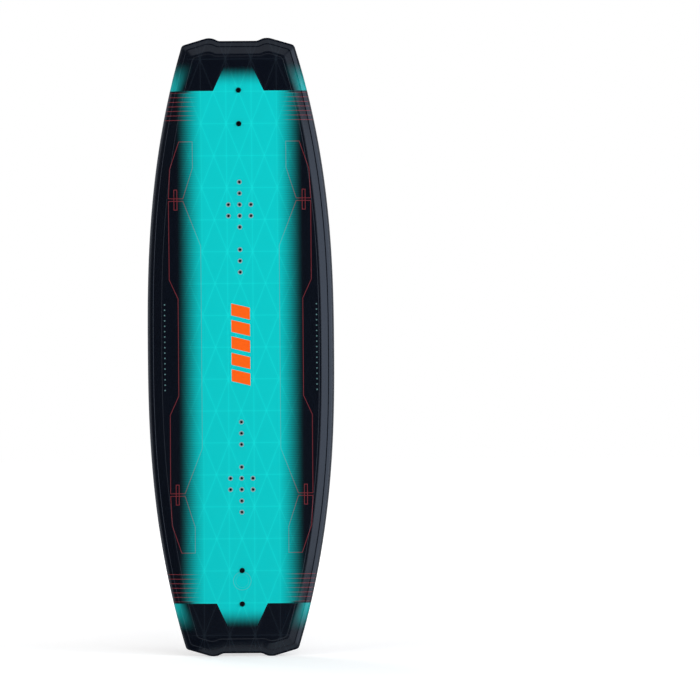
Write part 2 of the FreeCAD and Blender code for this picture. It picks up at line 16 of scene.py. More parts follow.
import bmesh
import bpy
import numpy as np
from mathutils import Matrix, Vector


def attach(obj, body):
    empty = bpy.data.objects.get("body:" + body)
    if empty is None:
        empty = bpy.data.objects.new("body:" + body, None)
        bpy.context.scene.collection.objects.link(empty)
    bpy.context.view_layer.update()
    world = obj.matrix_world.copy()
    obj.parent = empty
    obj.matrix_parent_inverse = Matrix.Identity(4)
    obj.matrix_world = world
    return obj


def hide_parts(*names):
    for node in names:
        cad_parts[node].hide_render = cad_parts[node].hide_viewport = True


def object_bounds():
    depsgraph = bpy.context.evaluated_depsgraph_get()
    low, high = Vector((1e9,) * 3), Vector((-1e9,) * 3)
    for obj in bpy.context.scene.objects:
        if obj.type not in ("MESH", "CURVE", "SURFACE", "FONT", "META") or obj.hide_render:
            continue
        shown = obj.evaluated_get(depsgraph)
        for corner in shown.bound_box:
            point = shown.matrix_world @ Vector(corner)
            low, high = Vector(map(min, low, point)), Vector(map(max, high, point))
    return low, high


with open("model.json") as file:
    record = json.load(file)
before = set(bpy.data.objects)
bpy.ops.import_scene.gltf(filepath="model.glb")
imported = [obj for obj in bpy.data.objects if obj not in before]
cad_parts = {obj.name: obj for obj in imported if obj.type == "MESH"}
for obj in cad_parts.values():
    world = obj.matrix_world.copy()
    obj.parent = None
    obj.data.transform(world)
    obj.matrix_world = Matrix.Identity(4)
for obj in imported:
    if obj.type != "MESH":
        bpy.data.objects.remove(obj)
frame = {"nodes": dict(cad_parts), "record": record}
CAD_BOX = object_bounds()

LOG = logging.getLogger("wakeboard")
MM = 0.001
ROOT = "root"
Number = Union[float, "Field"]
Colour = tuple[float, float, float]


def linear(red: float, green: float, blue: float) -> Colour:
    """Linear colour of a display colour given in 0 to 255 steps.

    Args:
        red, green, blue: the display values.

    Returns:
        The three linear values.
    """
    shares = [value / 255 for value in (red, green, blue)]
    return tuple(share / 12.92 if share <= 0.04045 else ((share + 0.055) / 1.055) ** 2.4 for share in shares)


def add_object(name: str, data: bpy.types.ID) -> bpy.types.Object:
    """New object of the scene, at the origin.

    Args:
        name: its name.
        data: its mesh, lamp or camera.

    Returns:
        The object.
    """
    new = bpy.data.objects.new(name, data)
    bpy.context.scene.collection.objects.link(new)
    return new


def add_material(name: str) -> bpy.types.Material:
    """New material with its node tree switched on.

    Args:
        name: its name.

    Returns:
        The material.
    """
    material = bpy.data.materials.new(name)
    material.use_nodes = True
    return material


# ---------------------------------------------------------------- the board's surfaces
@dataclass(frozen=True)
class BoardShape:
    """Driving sizes of the board and the formulas of its surfaces, in metres."""

    length: float = 1.390
    width: float = 0.422
    shoulder_half: float = 0.1265
    shoulder_drop: float = 0.017
    rail_power: float = 2.5
    horn_half: float = 0.062
    notch_depth: float = 0.0065
    horn_inner_angle: float = math.radians(26.5)
    tip_edge_angle: float = math.radians(16.2)
    horn_rounding: float = 0.70
    notch_rounding: float = 0.27
    shoulder_rounding: float = 0.006
    rocker_height: float = 0.060
    centre_thickness: float = 0.022
    tip_thickness: float = 0.012
    crease_x: float = 0.115
    spine_height: float = 0.003
    edge_rise: float = 0.006
    flange_thickness: float = 0.006
    shift_y: float = CAD_BOX[1][1] - 0.003
    middle_z: float = (CAD_BOX[0][2] + CAD_BOX[1][2]) / 2

    @property
    def half(self) -> float:
        """Half of the length."""
        return self.length / 2

    def half_width(self, u: np.ndarray) -> np.ndarray:
        """Half of the width: the middle's less a power of the share of the way to the shoulder."""
        loss = self.width / 2 - self.shoulder_half
        return self.width / 2 - loss * (np.abs(u) / (self.half - self.shoulder_drop)) ** self.rail_power

    def rail_x(self, u: np.ndarray, inset: float) -> np.ndarray:
        """Plan x of the right rail, set in square to the rail.

        Args:
            u: stations along the board.
            inset: distance in from the rail.

        Returns:
            Distances from the centre line.
        """
        loss = self.width / 2 - self.shoulder_half
        reach = self.half - self.shoulder_drop
        slope = loss * self.rail_power / reach * (np.abs(u) / reach) ** (self.rail_power - 1)
        return self.half_width(u) - inset * np.hypot(1, slope)

    def rocker(self, u: np.ndarray) -> np.ndarray:
        """Lift of the base creases: a parabola in u."""
        return self.rocker_height * (u / self.half) ** 2

    def base_rise(self, x: np.ndarray) -> np.ndarray:
        """Lift above the creases: a V that is lowest at the spine, and outer panels that rise.

        Args:
            x: distances from the centre line.

        Returns:
            Lifts above the creases.
        """
        x = np.abs(x)
        inner = -self.spine_height * (1 - x / self.crease_x)
        outer = self.edge_rise * (x - self.crease_x) / (self.width / 2 - self.crease_x)
        return np.where(x < self.crease_x, inner, outer)

    def base_level(self, x: np.ndarray, u: np.ndarray) -> np.ndarray:
        """Level of the base surface."""
        return self.rocker(u) + self.base_rise(x)

    def deck_level(self, u: np.ndarray) -> np.ndarray:
        """Level of the flat deck: rocker, tip thickness and a parabola of extra thickness."""
        swell = self.centre_thickness - self.tip_thickness
        return self.rocker(u) + self.tip_thickness + swell * (1 - (u / self.half) ** 2)

    def bevel_level(self, u: np.ndarray, share: float) -> np.ndarray:
        """Level on the deck's bevel, from the rail flange (share 0) to the flat deck (share 1)."""
        flange = self.rocker(u) + self.base_rise(self.half_width(u)) + self.flange_thickness
        return flange + share * (self.deck_level(u) - flange)

    def place(self, plan: np.ndarray, level: np.ndarray) -> np.ndarray:
        """Points in the frame, from plan points (x, u) and their levels."""
        return np.stack([plan[..., 0], self.shift_y - level, plan[..., 1] + self.middle_z], axis=-1)


@dataclass(frozen=True)
class Outline:
    """Plan outline of the board, with the same number of points at every inset."""

    shape: BoardShape
    flat_steps: int = 8
    curve_steps: int = 8
    edge_steps: int = 8
    rail_steps: int = 200

    def corners(self, inset: float) -> tuple[np.ndarray, np.ndarray, np.ndarray]:
        """Sharp corners of the front tip's right half: notch, horn and shoulder.

        Every edge is moved inwards by the inset, so a corner is where two moved edges meet.

        Args:
            inset: distance in from the outline.

        Returns:
            The three plan points.
        """
        shape = self.shape
        alpha, beta = shape.horn_inner_angle, shape.tip_edge_angle
        share = shape.horn_rounding * math.sin(beta) / (math.sin(alpha) + math.sin(beta))
        rise = shape.notch_depth * share / (1 - share)
        spread = (1 / math.cos(alpha) - 1 / math.cos(beta)) / (math.tan(alpha) + math.tan(beta))
        horn_x = shape.horn_half + inset * spread
        fall = rise + shape.notch_depth + inset * (1 - 1 / math.cos(alpha))
        notch_x = shape.horn_half - fall / math.tan(alpha)

        def edge_u(x: float) -> float:
            """Station of the moved tip edge at x."""
            return shape.half + rise - (x - shape.horn_half) * math.tan(beta) - inset / math.cos(beta)

        shoulder_u = shape.half - shape.shoulder_drop - inset
        for _ in range(8):
            shoulder_u = edge_u(float(shape.rail_x(np.array(shoulder_u), inset)))
        shoulder_x = float(shape.rail_x(np.array(shoulder_u), inset))
        points = ((notch_x, shape.half - shape.notch_depth - inset), (horn_x, edge_u(horn_x)),
                  (shoulder_x, shoulder_u))
        return tuple(np.array(point) for point in points)

    @staticmethod
    def _line(start: np.ndarray, end: np.ndarray, steps: int) -> np.ndarray:
        """Straight run without its last point."""
        t = np.linspace(0, 1, steps, endpoint=False)[:, None]
        return start + (end - start) * t

    @staticmethod
    def _curve(start: np.ndarray, corner: np.ndarray, end: np.ndarray, steps: int) -> np.ndarray:
        """Parabola that rounds a corner between two set-back points, without its last point."""
        t = np.linspace(0, 1, steps, endpoint=False)[:, None]
        return start * (1 - t) ** 2 + corner * 2 * t * (1 - t) + end * t ** 2

    def half_tip(self, inset: float) -> np.ndarray:
        """Front tip from the centre line to where the right rail starts, in that order.

        Args:
            inset: distance in from the outline.

        Returns:
            Plan points as rows; the last one is the start of the rail.
        """
        shape = self.shape
        notch, horn, shoulder = self.corners(inset)
        slope = np.linalg.norm(horn - notch)
        up = np.array((math.cos(shape.horn_inner_angle), math.sin(shape.horn_inner_angle)))
        down = np.array((math.cos(shape.tip_edge_angle), -math.sin(shape.tip_edge_angle)))
        notch_back, horn_back = shape.notch_rounding * slope, shape.horn_rounding * slope
        notch_in, notch_out = notch - (notch_back, 0), notch + notch_back * up
        horn_in, horn_out = horn - horn_back * up, horn + horn_back * down
        shoulder_in = shoulder - shape.shoulder_rounding * down
        rail_u = shoulder[1] - shape.shoulder_rounding
        rail = np.array((float(shape.rail_x(np.array(rail_u), inset)), rail_u))
        middle = np.array((0.0, notch[1]))
        runs = [
            self._line(middle, notch_in, self.flat_steps),
            self._curve(notch_in, notch, notch_out, self.curve_steps),
            self._line(notch_out, horn_in, 2),
            self._curve(horn_in, horn, horn_out, self.curve_steps),
            self._line(horn_out, shoulder_in, self.edge_steps),
            self._curve(shoulder_in, shoulder, rail, self.curve_steps),
            rail[None, :],
        ]
        return np.concatenate(runs)

    def right_rail(self, inset: float) -> np.ndarray:
        """Right rail from front to rear, evenly spaced along the board.

        Args:
            inset: distance in from the outline.

        Returns:
            Plan points as rows.
        """
        start = self.half_tip(inset)[-1, 1]
        u = np.linspace(start, -start, self.rail_steps + 1)
        return np.stack([self.shape.rail_x(u, inset), u], axis=-1)

    def sides(self, inset: float) -> tuple[np.ndarray, np.ndarray, np.ndarray, np.ndarray]:
        """Front tip left to right, rear tip left to right, left and right rail front to rear.

        Args:
            inset: distance in from the outline.

        Returns:
            The four sides, each as rows of plan points.
        """
        half = self.half_tip(inset)
        front = np.concatenate([half[:0:-1] * (-1, 1), half])
        right = self.right_rail(inset)
        return front, front * (1, -1), right * (-1, 1), right

    def loop(self, inset: float) -> np.ndarray:
        """Closed outline, clockwise from the front left corner, without a repeated point."""
        front, rear, left, right = self.sides(inset)
        return np.concatenate([front[:-1], right[:-1], rear[:0:-1], left[:0:-1]])


def coons(front: np.ndarray, rear: np.ndarray, left: np.ndarray, right: np.ndarray) -> np.ndarray:
    """Plan patch between four sides: the sum of both straight blends less the corners' blend.

    Args:
        front, rear: the two ends, left to right.
        left, right: the two sides, front to rear.

    Returns:
        Plan points, one row for each point of the sides.
    """
    s = np.linspace(0, 1, len(front))[None, :, None]
    t = np.linspace(0, 1, len(left))[:, None, None]
    across = front[None] * (1 - t) + rear[None] * t
    along = left[:, None] * (1 - s) + right[:, None] * s
    near = front[0] * (1 - s) + front[-1] * s
    far = rear[0] * (1 - s) + rear[-1] * s
    return across + along - (near * (1 - t) + far * t)


# ---------------------------------------------------------------- meshes from grids
@dataclass
class Shell:
    """Closed surface gathered from grids of points, which are welded where they meet."""

    points: list[np.ndarray] = field(default_factory=list)
    faces: list[np.ndarray] = field(default_factory=list)
    count: int = 0
    weld: float = 2e-6
    shortest: float = 1e-7

    def grid(self, points: np.ndarray, wrap: bool = False) -> None:
        """Add a grid; wrap joins its last column to its first.

        Args:
            points: rows by columns by three.
            wrap: whether each row is a closed ring.
        """
        rows, columns = points.shape[:2]
        index = np.arange(rows * columns).reshape(rows, columns) + self.count
        if wrap:
            index = np.concatenate([index, index[:, :1]], axis=1)
        quads = np.stack([index[:-1, :-1], index[:-1, 1:], index[1:, 1:], index[1:, :-1]], axis=-1)
        self.points.append(points.reshape(-1, 3))
        self.faces.append(quads.reshape(-1, 4))
        self.count += rows * columns

    def piece(self, name: str, sharp_angle: float = 40.0) -> bpy.types.Object:
        """Make the object, welded, with its faces outwards and smooth between its edges.

        Args:
            name: the piece's name.
            sharp_angle: edges that turn more than this many degrees stay crisp.

        Returns:
            The new object at the origin.
        """
        mesh = bpy.data.meshes.new(name)
        mesh.from_pydata(np.concatenate(self.points), [], np.concatenate(self.faces))
        work = bmesh.new()
        work.from_mesh(mesh)
        bmesh.ops.remove_doubles(work, verts=work.verts, dist=self.weld)
        bmesh.ops.dissolve_degenerate(work, edges=work.edges, dist=self.shortest)
        bmesh.ops.recalc_face_normals(work, faces=work.faces)
        work.to_mesh(mesh)
        work.free()
        smooth(mesh, sharp_angle)
        return add_object(name, mesh)


def smooth(mesh: bpy.types.Mesh, sharp_angle: float) -> None:
    """Smooth shading, apart from edges that turn more than sharp_angle degrees.

    Args:
        mesh: the mesh to smooth.
        sharp_angle: the least angle of an edge that stays crisp.
    """
    mesh.polygons.foreach_set("use_smooth", np.ones(len(mesh.polygons), dtype=bool))
    mesh.set_sharp_from_angle(angle=math.radians(sharp_angle))
    mesh.update()


def bars(centres: np.ndarray, directions: np.ndarray, radius: float, reach: float,
         sides: int = 40) -> np.ndarray:
    """Round bars as two rings each: centre +- reach along a direction, at a radius about it.

    Args:
        centres: middle of each bar.
        directions: unit direction of each bar, square to X.
        radius: radius of all bars.
        reach: half of each bar's length.
        sides: points round a bar.

    Returns:
        Bars by two rings by sides by three.
    """
    turn = np.linspace(0, 2 * math.pi, sides, endpoint=False)
    across = np.array((1.0, 0.0, 0.0))
    third = np.cross(directions, across)
    ring = np.cos(turn)[None, :, None] * across + np.sin(turn)[None, :, None] * third[:, None]
    ends = centres[:, None] + directions[:, None] * np.array((-reach, reach))[None, :, None]
    return ends[:, :, None] + radius * ring[:, None]


def cut_holes(piece: bpy.types.Object, rings: Iterable[np.ndarray], sharp_angle: float) -> None:
    """Cut round holes clean through a piece.

    Args:
        piece: the closed piece.
        rings: one array of bars for each size of hole, as bars() makes them.
        sharp_angle: passed to the smoothing after the cut.
    """
    tool = Shell()
    for group in rings:
        for bar in group:
            tool.grid(bar, wrap=True)
            for ring in bar:
                tool.grid(np.stack([ring, np.broadcast_to(ring.mean(axis=0), ring.shape)]), wrap=True)
    cutter = tool.piece(f"{piece.name}_cutter")
    step = piece.modifiers.new("holes", "BOOLEAN")
    step.operation = "DIFFERENCE"
    step.solver = "EXACT"
    step.object = cutter
    graph = bpy.context.evaluated_depsgraph_get()
    result = bpy.data.meshes.new_from_object(piece.evaluated_get(graph))
    piece.modifiers.clear()
    old = piece.data
    piece.data = result
    result.name = piece.name
    bpy.data.meshes.remove(old)
    bpy.data.meshes.remove(cutter.data)
    smooth(result, sharp_angle)


# ---------------------------------------------------------------- the board's skins
@dataclass(frozen=True)
class Hardware:
    """Where the inserts and fin screws stand, in metres."""

    shape: BoardShape
    pitch: float = 0.0254
    station: float = 0.3218
    column: tuple[int, ...] = (2, 1, 0, -1, -2, -4, -5, -6)
    side_rows: tuple[int, ...] = (0, -1)
    insert_radius: float = 0.0055
    screw_from_tip: float = 0.154
    screw_spacing: float = 0.075
    screw_hole_radius: float = 0.0028
    insert_reach: float = 0.012
    screw_reach: float = 0.030

    def insert_bars(self) -> np.ndarray:
        """Bars of the inserts' seats, square to the board's plan.

        Returns:
            The bars, as bars() makes them.
        """
        spots = [(0.0, self.station + row * self.pitch) for row in self.column]
        spots += [(side * self.pitch, self.station + row * self.pitch)
                  for row in self.side_rows for side in (-1, 1)]
        plan = np.array([(x, end * u) for end in (1, -1) for x, u in spots])
        centres = self.shape.place(plan, self.shape.deck_level(plan[:, 1]))
        directions = np.broadcast_to((0.0, 1.0, 0.0), centres.shape)
        return bars(centres, directions, self.insert_radius, self.insert_reach)

    def screw_bars(self) -> np.ndarray:
        """Bars of the fin screws' holes, square to the deck's curve.

        Returns:
            The bars, as bars() makes them.
        """
        shape = self.shape
        half = shape.half - self.screw_from_tip
        stations = [end * (half + side * self.screw_spacing / 2) for end in (1, -1) for side in (-1, 1)]
        u = np.array(stations)
        bend = 2 * (shape.rocker_height - shape.centre_thickness + shape.tip_thickness) / shape.half ** 2
        directions = np.stack([np.zeros(4), -np.ones(4), -bend * u], axis=-1)
        directions /= np.linalg.norm(directions, axis=1, keepdims=True)
        centres = shape.place(np.stack([np.zeros(4), u], axis=-1), shape.deck_level(u))
        return bars(centres, directions, self.screw_hole_radius, self.screw_reach)


@dataclass(frozen=True)
class DeckSkin:
    """Printed top sheet with its stepped bevel, a shallow groove round the flat, and holes."""

    outline: Outline
    hardware: Hardware
    thickness: float = 0.0008
    knees: tuple[tuple[float, float], ...] = (
        (0.0, 0.0), (0.004, 0.0), (0.012, 0.44), (0.0135, 0.36), (0.029, 1.0))
    knee_rounding: float = 0.0009
    inner_rounding: float = 0.0026
    knee_steps: int = 6
    bevel_height: float = 0.016
    longest_back: float = 0.98
    groove_inset: float = 0.0330
    groove_half: float = 0.0013
    groove_depth: float = 0.00035
    sharp_angle: float = 50.0

    def profile(self) -> np.ndarray:
        """Bevel profile as rows of inset and share, its inner knees rounded by parabolas.

        Returns:
            One row for each ring of the bevel.
        """
        knees = np.array(self.knees)
        last = knees[-1] + (self.groove_inset - self.groove_half - knees[-1, 0], 0)
        knees = np.concatenate([knees, last[None]])
        rows = [knees[:1]]
        radii = [self.knee_rounding] * (len(self.knees) - 2) + [self.inner_rounding]
        for before, knee, after, radius in zip(knees, knees[1:], knees[2:], radii):
            ends = []
            for side in (before - knee, after - knee):
                back = min(self.longest_back, radius / np.hypot(*(side * (1, self.bevel_height))))
                ends.append(knee + side * back)
            start, end = ends
            t = np.linspace(0, 1, self.knee_steps)[:, None]
            rows.append(start * (1 - t) ** 2 + knee * 2 * t * (1 - t) + end * t ** 2)
        return np.concatenate(rows + [knees[-1:]])

    def surface(self, shell: Shell, drop: float) -> np.ndarray:
        """Add the bevel's rings and the flat inside them, lowered by drop.

        Each ring is the outline at an inset, lifted to its share of the bevel; the flat is a
        patch between the last ring's four sides, lifted to the deck's parabola.

        Args:
            shell: the shell that takes the grids.
            drop: distance below the deck's surface.

        Returns:
            The outermost ring.
        """
        shape = self.outline.shape
        rings = []
        for inset, share in self.profile():
            plan = self.outline.loop(inset)
            rings.append(shape.place(plan, shape.bevel_level(plan[:, 1], share) - drop))
        for turn in np.linspace(-1, 1, 7)[1:]:
            plan = self.outline.loop(self.groove_inset + turn * self.groove_half)
            dip = self.groove_depth * (1 + math.cos(math.pi * turn)) / 2
            rings.append(shape.place(plan, shape.deck_level(plan[:, 1]) - dip - drop))
        shell.grid(np.stack(rings), wrap=True)
        flat = coons(*self.outline.sides(self.groove_inset + self.groove_half))
        shell.grid(shape.place(flat, shape.deck_level(flat[..., 1]) - drop))
        return rings[0]

    def build(self) -> bpy.types.Object:
        """Make the closed sheet, cut its holes and return it.

        Returns:
            The finished sheet.
        """
        shell = Shell()
        top = self.surface(shell, 0.0)
        bottom = self.surface(shell, self.thickness)
        shell.grid(np.stack([top, bottom]), wrap=True)
        piece = shell.piece("deck_skin", self.sharp_angle)
        cut_holes(piece, (self.hardware.insert_bars(), self.hardware.screw_bars()), self.sharp_angle)
        return piece


@dataclass(frozen=True)
class BaseSkin:
    """Glossy bottom sheet: a V with two creases that widen into four moulded side fins."""

    outline: Outline
    hardware: Hardware
    thickness: float = 0.001
    rows: int = 240
    fin_columns: int = 21
    panel_columns: int = 21
    fin_length: float = 0.238
    fin_width: float = 0.018
    fin_point_width: float = 0.001
    fin_spread_power: float = 0.75
    fin_height: float = 0.013
    fin_point_height: float = 0.0004
    fin_rise: float = 1.15
    fin_crest: float = 0.0024
    crest_rounding: float = 0.16
    spine_rounding: float = 0.0010
    sharp_angle: float = 50.0

    def fin_share(self, u: np.ndarray) -> np.ndarray:
        """Share of the way from a fin's inner point to the tip, and 0 between the points.

        Args:
            u: stations along the board.

        Returns:
            Shares from 0 to 1.
        """
        shape = self.outline.shape
        inner = shape.half - shape.shoulder_drop - self.fin_length
        return np.clip((np.abs(u) - inner) / (shape.half - inner), 0, 1)

    def fin_half(self, u: np.ndarray) -> np.ndarray:
        """Half of a side fin's width at its foot, a power of the share along it."""
        spread = self.fin_width - self.fin_point_width
        return (self.fin_point_width + spread * self.fin_share(u) ** self.fin_spread_power) / 2

    def fin_lift(self, across: np.ndarray, u: np.ndarray) -> np.ndarray:
        """Height of a side fin above the base: a quarter sine along it, a rounded roof across.

        Args:
            across: -1 to 1 over the fin's foot.
            u: stations, in the same grid.

        Returns:
            Heights.
        """
        share = self.fin_share(u)
        climb = self.fin_height - self.fin_point_height
        top = self.fin_point_height + climb * np.sin(math.pi / 2 * np.minimum(1, self.fin_rise * share))
        crest = np.minimum(0.5, self.fin_crest / 2 / self.fin_half(u))
        ramp = (1 - np.abs(across)) / (1 - crest)
        blend = self.crest_rounding
        round_off = np.clip((ramp - (1 - blend)) / (2 * blend), 0, 1)
        roof = np.where(ramp < 1 - blend, ramp, 1 - blend + 2 * blend * (round_off - round_off ** 2 / 2))
        return np.where(share > 0, top * roof, 0)

    def edge_u(self, x: np.ndarray) -> np.ndarray:
        """Station of the front tip's edge at a distance x from the centre line."""
        tip = self.outline.half_tip(0.0)
        return np.interp(np.abs(x), tip[:, 0], tip[:, 1])

    def column(self, x_of_u: Callable[[np.ndarray], np.ndarray], shape: tuple) -> np.ndarray:
        """Plan columns that run from edge to edge, along a rule x = x_of_u(u).

        The end of each column is where its rule meets the tip's edge, found by repetition.

        Args:
            x_of_u: gives x for stations, as an array with one entry for each column.
            shape: number of columns, as a tuple.

        Returns:
            Plan points, rows from front to rear by columns.
        """
        end = np.full(shape, self.outline.shape.half)
        for _ in range(12):
            end = self.edge_u(x_of_u(end))
        t = np.linspace(1, -1, self.rows + 1)[:, None]
        u = t * end[None, :]
        return np.stack([x_of_u(u), u], axis=-1)

    def inner_panel(self) -> np.ndarray:
        """Plan grid from the spine to a side fin's inner foot, finer at both edges.

        Returns:
            The grid, rows from front to rear.
        """
        shape = self.outline.shape
        shares = np.concatenate([[0, self.spine_rounding / shape.crease_x],
                                 np.linspace(0, 1, 16)[1:-1], [0.99, 1]])
        return self.column(lambda u: shares * (shape.crease_x - self.fin_half(u)), shares.shape)

    def outer_panel(self, left: np.ndarray) -> np.ndarray:
        """Plan grid from a side fin's outer foot to the rail, a patch between its four sides.

        Args:
            left: plan points of the fin's outer foot, front to rear.

        Returns:
            The grid, rows from front to rear.
        """
        tip = self.outline.half_tip(0.0)
        u = np.linspace(tip[-1, 1], -tip[-1, 1], self.rows + 1)
        right = np.stack([self.outline.shape.rail_x(u, 0.0), u], axis=-1)
        x = np.linspace(left[0, 0], tip[-1, 0], 4)
        x = np.concatenate([x[:-1], tip[tip[:, 0] > x[-1] - 1e-9][:, 0]])
        edge = np.stack([x, self.edge_u(x)], axis=-1)
        shares, knots = np.linspace(0, 1, self.panel_columns), np.linspace(0, 1, len(edge))
        front = np.stack([np.interp(shares, knots, edge[:, axis]) for axis in (0, 1)], axis=-1)
        return coons(front, front * (1, -1), left, right)

    def blocks(self) -> list[tuple[np.ndarray, np.ndarray]]:
        """Plan grids and lifts of the right half: inner panel, side fin and outer panel.

        Returns:
            A plan grid and its lifts for each block.
        """
        across = np.sin(np.linspace(-1, 1, self.fin_columns) * math.pi / 2)
        crease = self.outline.shape.crease_x
        fin = self.column(lambda u: crease + across * self.fin_half(u), across.shape)
        lift = self.fin_lift(np.broadcast_to(across, fin.shape[:2]), fin[..., 1])
        inner, outer = self.inner_panel(), self.outer_panel(fin[:, -1])
        return [(inner, np.zeros(inner.shape[:2])), (fin, lift), (outer, np.zeros(outer.shape[:2]))]

    def build(self) -> bpy.types.Object:
        """Make the closed sheet from its blocks, both halves, and cut the fin screws' holes.

        Returns:
            The finished sheet.
        """
        shape = self.outline.shape
        shell = Shell()
        for plan, lift in self.blocks():
            for side in (1, -1):
                flipped = plan * (side, 1)
                level = shape.base_level(flipped[..., 0], flipped[..., 1])
                outside = shape.place(flipped, level - lift)
                inside = shape.place(flipped, level + self.thickness)
                shell.grid(outside)
                shell.grid(inside)
                for row in (0, -1):
                    shell.grid(np.stack([outside[row], inside[row]]))
                if plan[0, -1, 0] > shape.shoulder_half:
                    shell.grid(np.stack([outside[:, -1], inside[:, -1]]))
        piece = shell.piece("base_skin", self.sharp_angle)
        cut_holes(piece, (self.hardware.screw_bars(),), self.sharp_angle)
        return piece


@dataclass(frozen=True)
class CentreFin:
    """Removable keel fin: a raked edge, a blunt heel and flanks that thin to a rounded edge."""

    shape: BoardShape
    end: int
    length: float = 0.190
    end_from_tip: float = 0.059
    height: float = 0.030
    thickness: float = 0.009
    peak_share: float = 0.80
    nose_half: float = 0.0004
    flank_share: float = 0.28
    edge_share: float = 1 / 3
    taper_from: float = 0.014
    taper_to: float = 0.038
    edge_rounding: float = 0.0011
    heel_rounding: float = 0.006
    stations: int = 120
    flank_steps: int = 10
    round_steps: int = 6

    @staticmethod
    def _bezier(poles: Sequence[tuple[float, float]], steps: int = 200) -> np.ndarray:
        """Points of a cubic curve through four control points.

        Args:
            poles: the control points.
            steps: number of points.

        Returns:
            Points as rows.
        """
        t = np.linspace(0, 1, steps)[:, None]
        a, b, c, d = (np.array(pole) for pole in poles)
        return a * (1 - t) ** 3 + b * 3 * t * (1 - t) ** 2 + c * 3 * t ** 2 * (1 - t) + d * t ** 3

    def foot(self, u: np.ndarray) -> np.ndarray:
        """Height of the base's spine, towards the fin."""
        return self.shape.spine_height - self.shape.rocker(u)

    def top(self, u: np.ndarray, inner: float, outer: float) -> np.ndarray:
        """Height of the fin's edge at each station, read from its two side curves.

        The rake climbs from the foot and is level at the peak; the heel starts level there and
        drops to the foot.

        Args:
            u: stations of the front fin.
            inner, outer: its ends.

        Returns:
            Heights towards the fin, from the same zero as the foot'shape.
        """
        peak = inner + self.peak_share * self.length
        crest = float(self.foot(np.array(peak))) + self.height
        low, high = (float(self.foot(np.array(value))) for value in (inner, outer))
        run = peak - inner
        rake = self._bezier(((inner, low), (inner + 0.35 * run, low + 0.55 * self.height),
                             (inner + 0.70 * run, crest), (peak, crest)))
        heel = self._bezier(((peak, crest), (inner + 0.95 * self.length, crest),
                             (outer, high + 0.25 * self.height), (outer, high)))
        curve = np.concatenate([rake, heel[1:]])
        return np.interp(u, curve[:, 0], curve[:, 1])

    def half_thickness(self, u: np.ndarray, inner: float, outer: float) -> np.ndarray:
        """Half thickness at the foot: a parabola from the nose, full, then round at the heel.

        Args:
            u: stations of the front fin.
            inner: its inner end.
            outer: its outer end.

        Returns:
            Half thicknesses.
        """
        full = self.thickness / 2
        share = np.clip((u - inner) / (self.flank_share * self.length), 0, 1)
        nose = self.nose_half + (full - self.nose_half) * (1 - (1 - share) ** 2)
        heel_share = np.clip((outer - u) / self.heel_rounding, 0, 1)
        return nose * (self.edge_share + (1 - self.edge_share) * np.sqrt(1 - (1 - heel_share) ** 2))

    def build(self) -> bpy.types.Object:
        """Make the fin: one section at each station, foot to edge on both flanks.

        A section runs up one flank, over a rounded edge and down the other. Flanks are straight
        to the taper, then lean in to the edge's thickness.

        Returns:
            The finished blade.
        """
        outer = self.shape.half - self.end_from_tip
        inner = outer - self.length
        turn = np.linspace(0, math.pi, self.stations)
        u = inner + self.length * (1 - np.cos(turn)) / 2
        foot, top = self.foot(u), self.top(u, inner, outer)
        tall = np.maximum(top - foot, 0)[:, None]
        half = self.half_thickness(u, inner, outer)[:, None]
        radius = np.minimum(self.edge_rounding, 0.45 * np.minimum(tall, half))
        v = np.concatenate([np.linspace(0, 1, self.flank_steps), np.ones(self.round_steps)])[None, :]
        angle = np.concatenate([np.zeros(self.flank_steps),
                                np.linspace(0, math.pi / 2, self.round_steps + 1)[1:]])[None, :]
        rise = v * (tall - radius) + radius * np.sin(angle)
        lean = np.clip((rise - self.taper_from) / (self.taper_to - self.taper_from), 0, 1)
        width = np.maximum(half * (1 - lean * (1 - self.edge_share)) - radius * (1 - np.cos(angle)), 0)
        x = np.concatenate([-width, width[:, ::-1]], axis=1)
        height = np.concatenate([rise, rise[:, ::-1]], axis=1) + foot[:, None]
        plan = np.stack([x, np.broadcast_to(self.end * u[:, None], x.shape)], axis=-1)
        flanks = self.shape.place(plan, -height)
        shell = Shell()
        shell.grid(flanks)
        shell.grid(np.stack([flanks[:, 0], flanks[:, -1]]))
        for row in (0, -1):
            ring = flanks[row]
            shell.grid(np.stack([ring[:len(ring) // 2], ring[:len(ring) // 2 - 1:-1]]))
        end_name = "front" if self.end > 0 else "rear"
        return shell.piece(f"centre_fin_blade_{end_name}", 60.0)


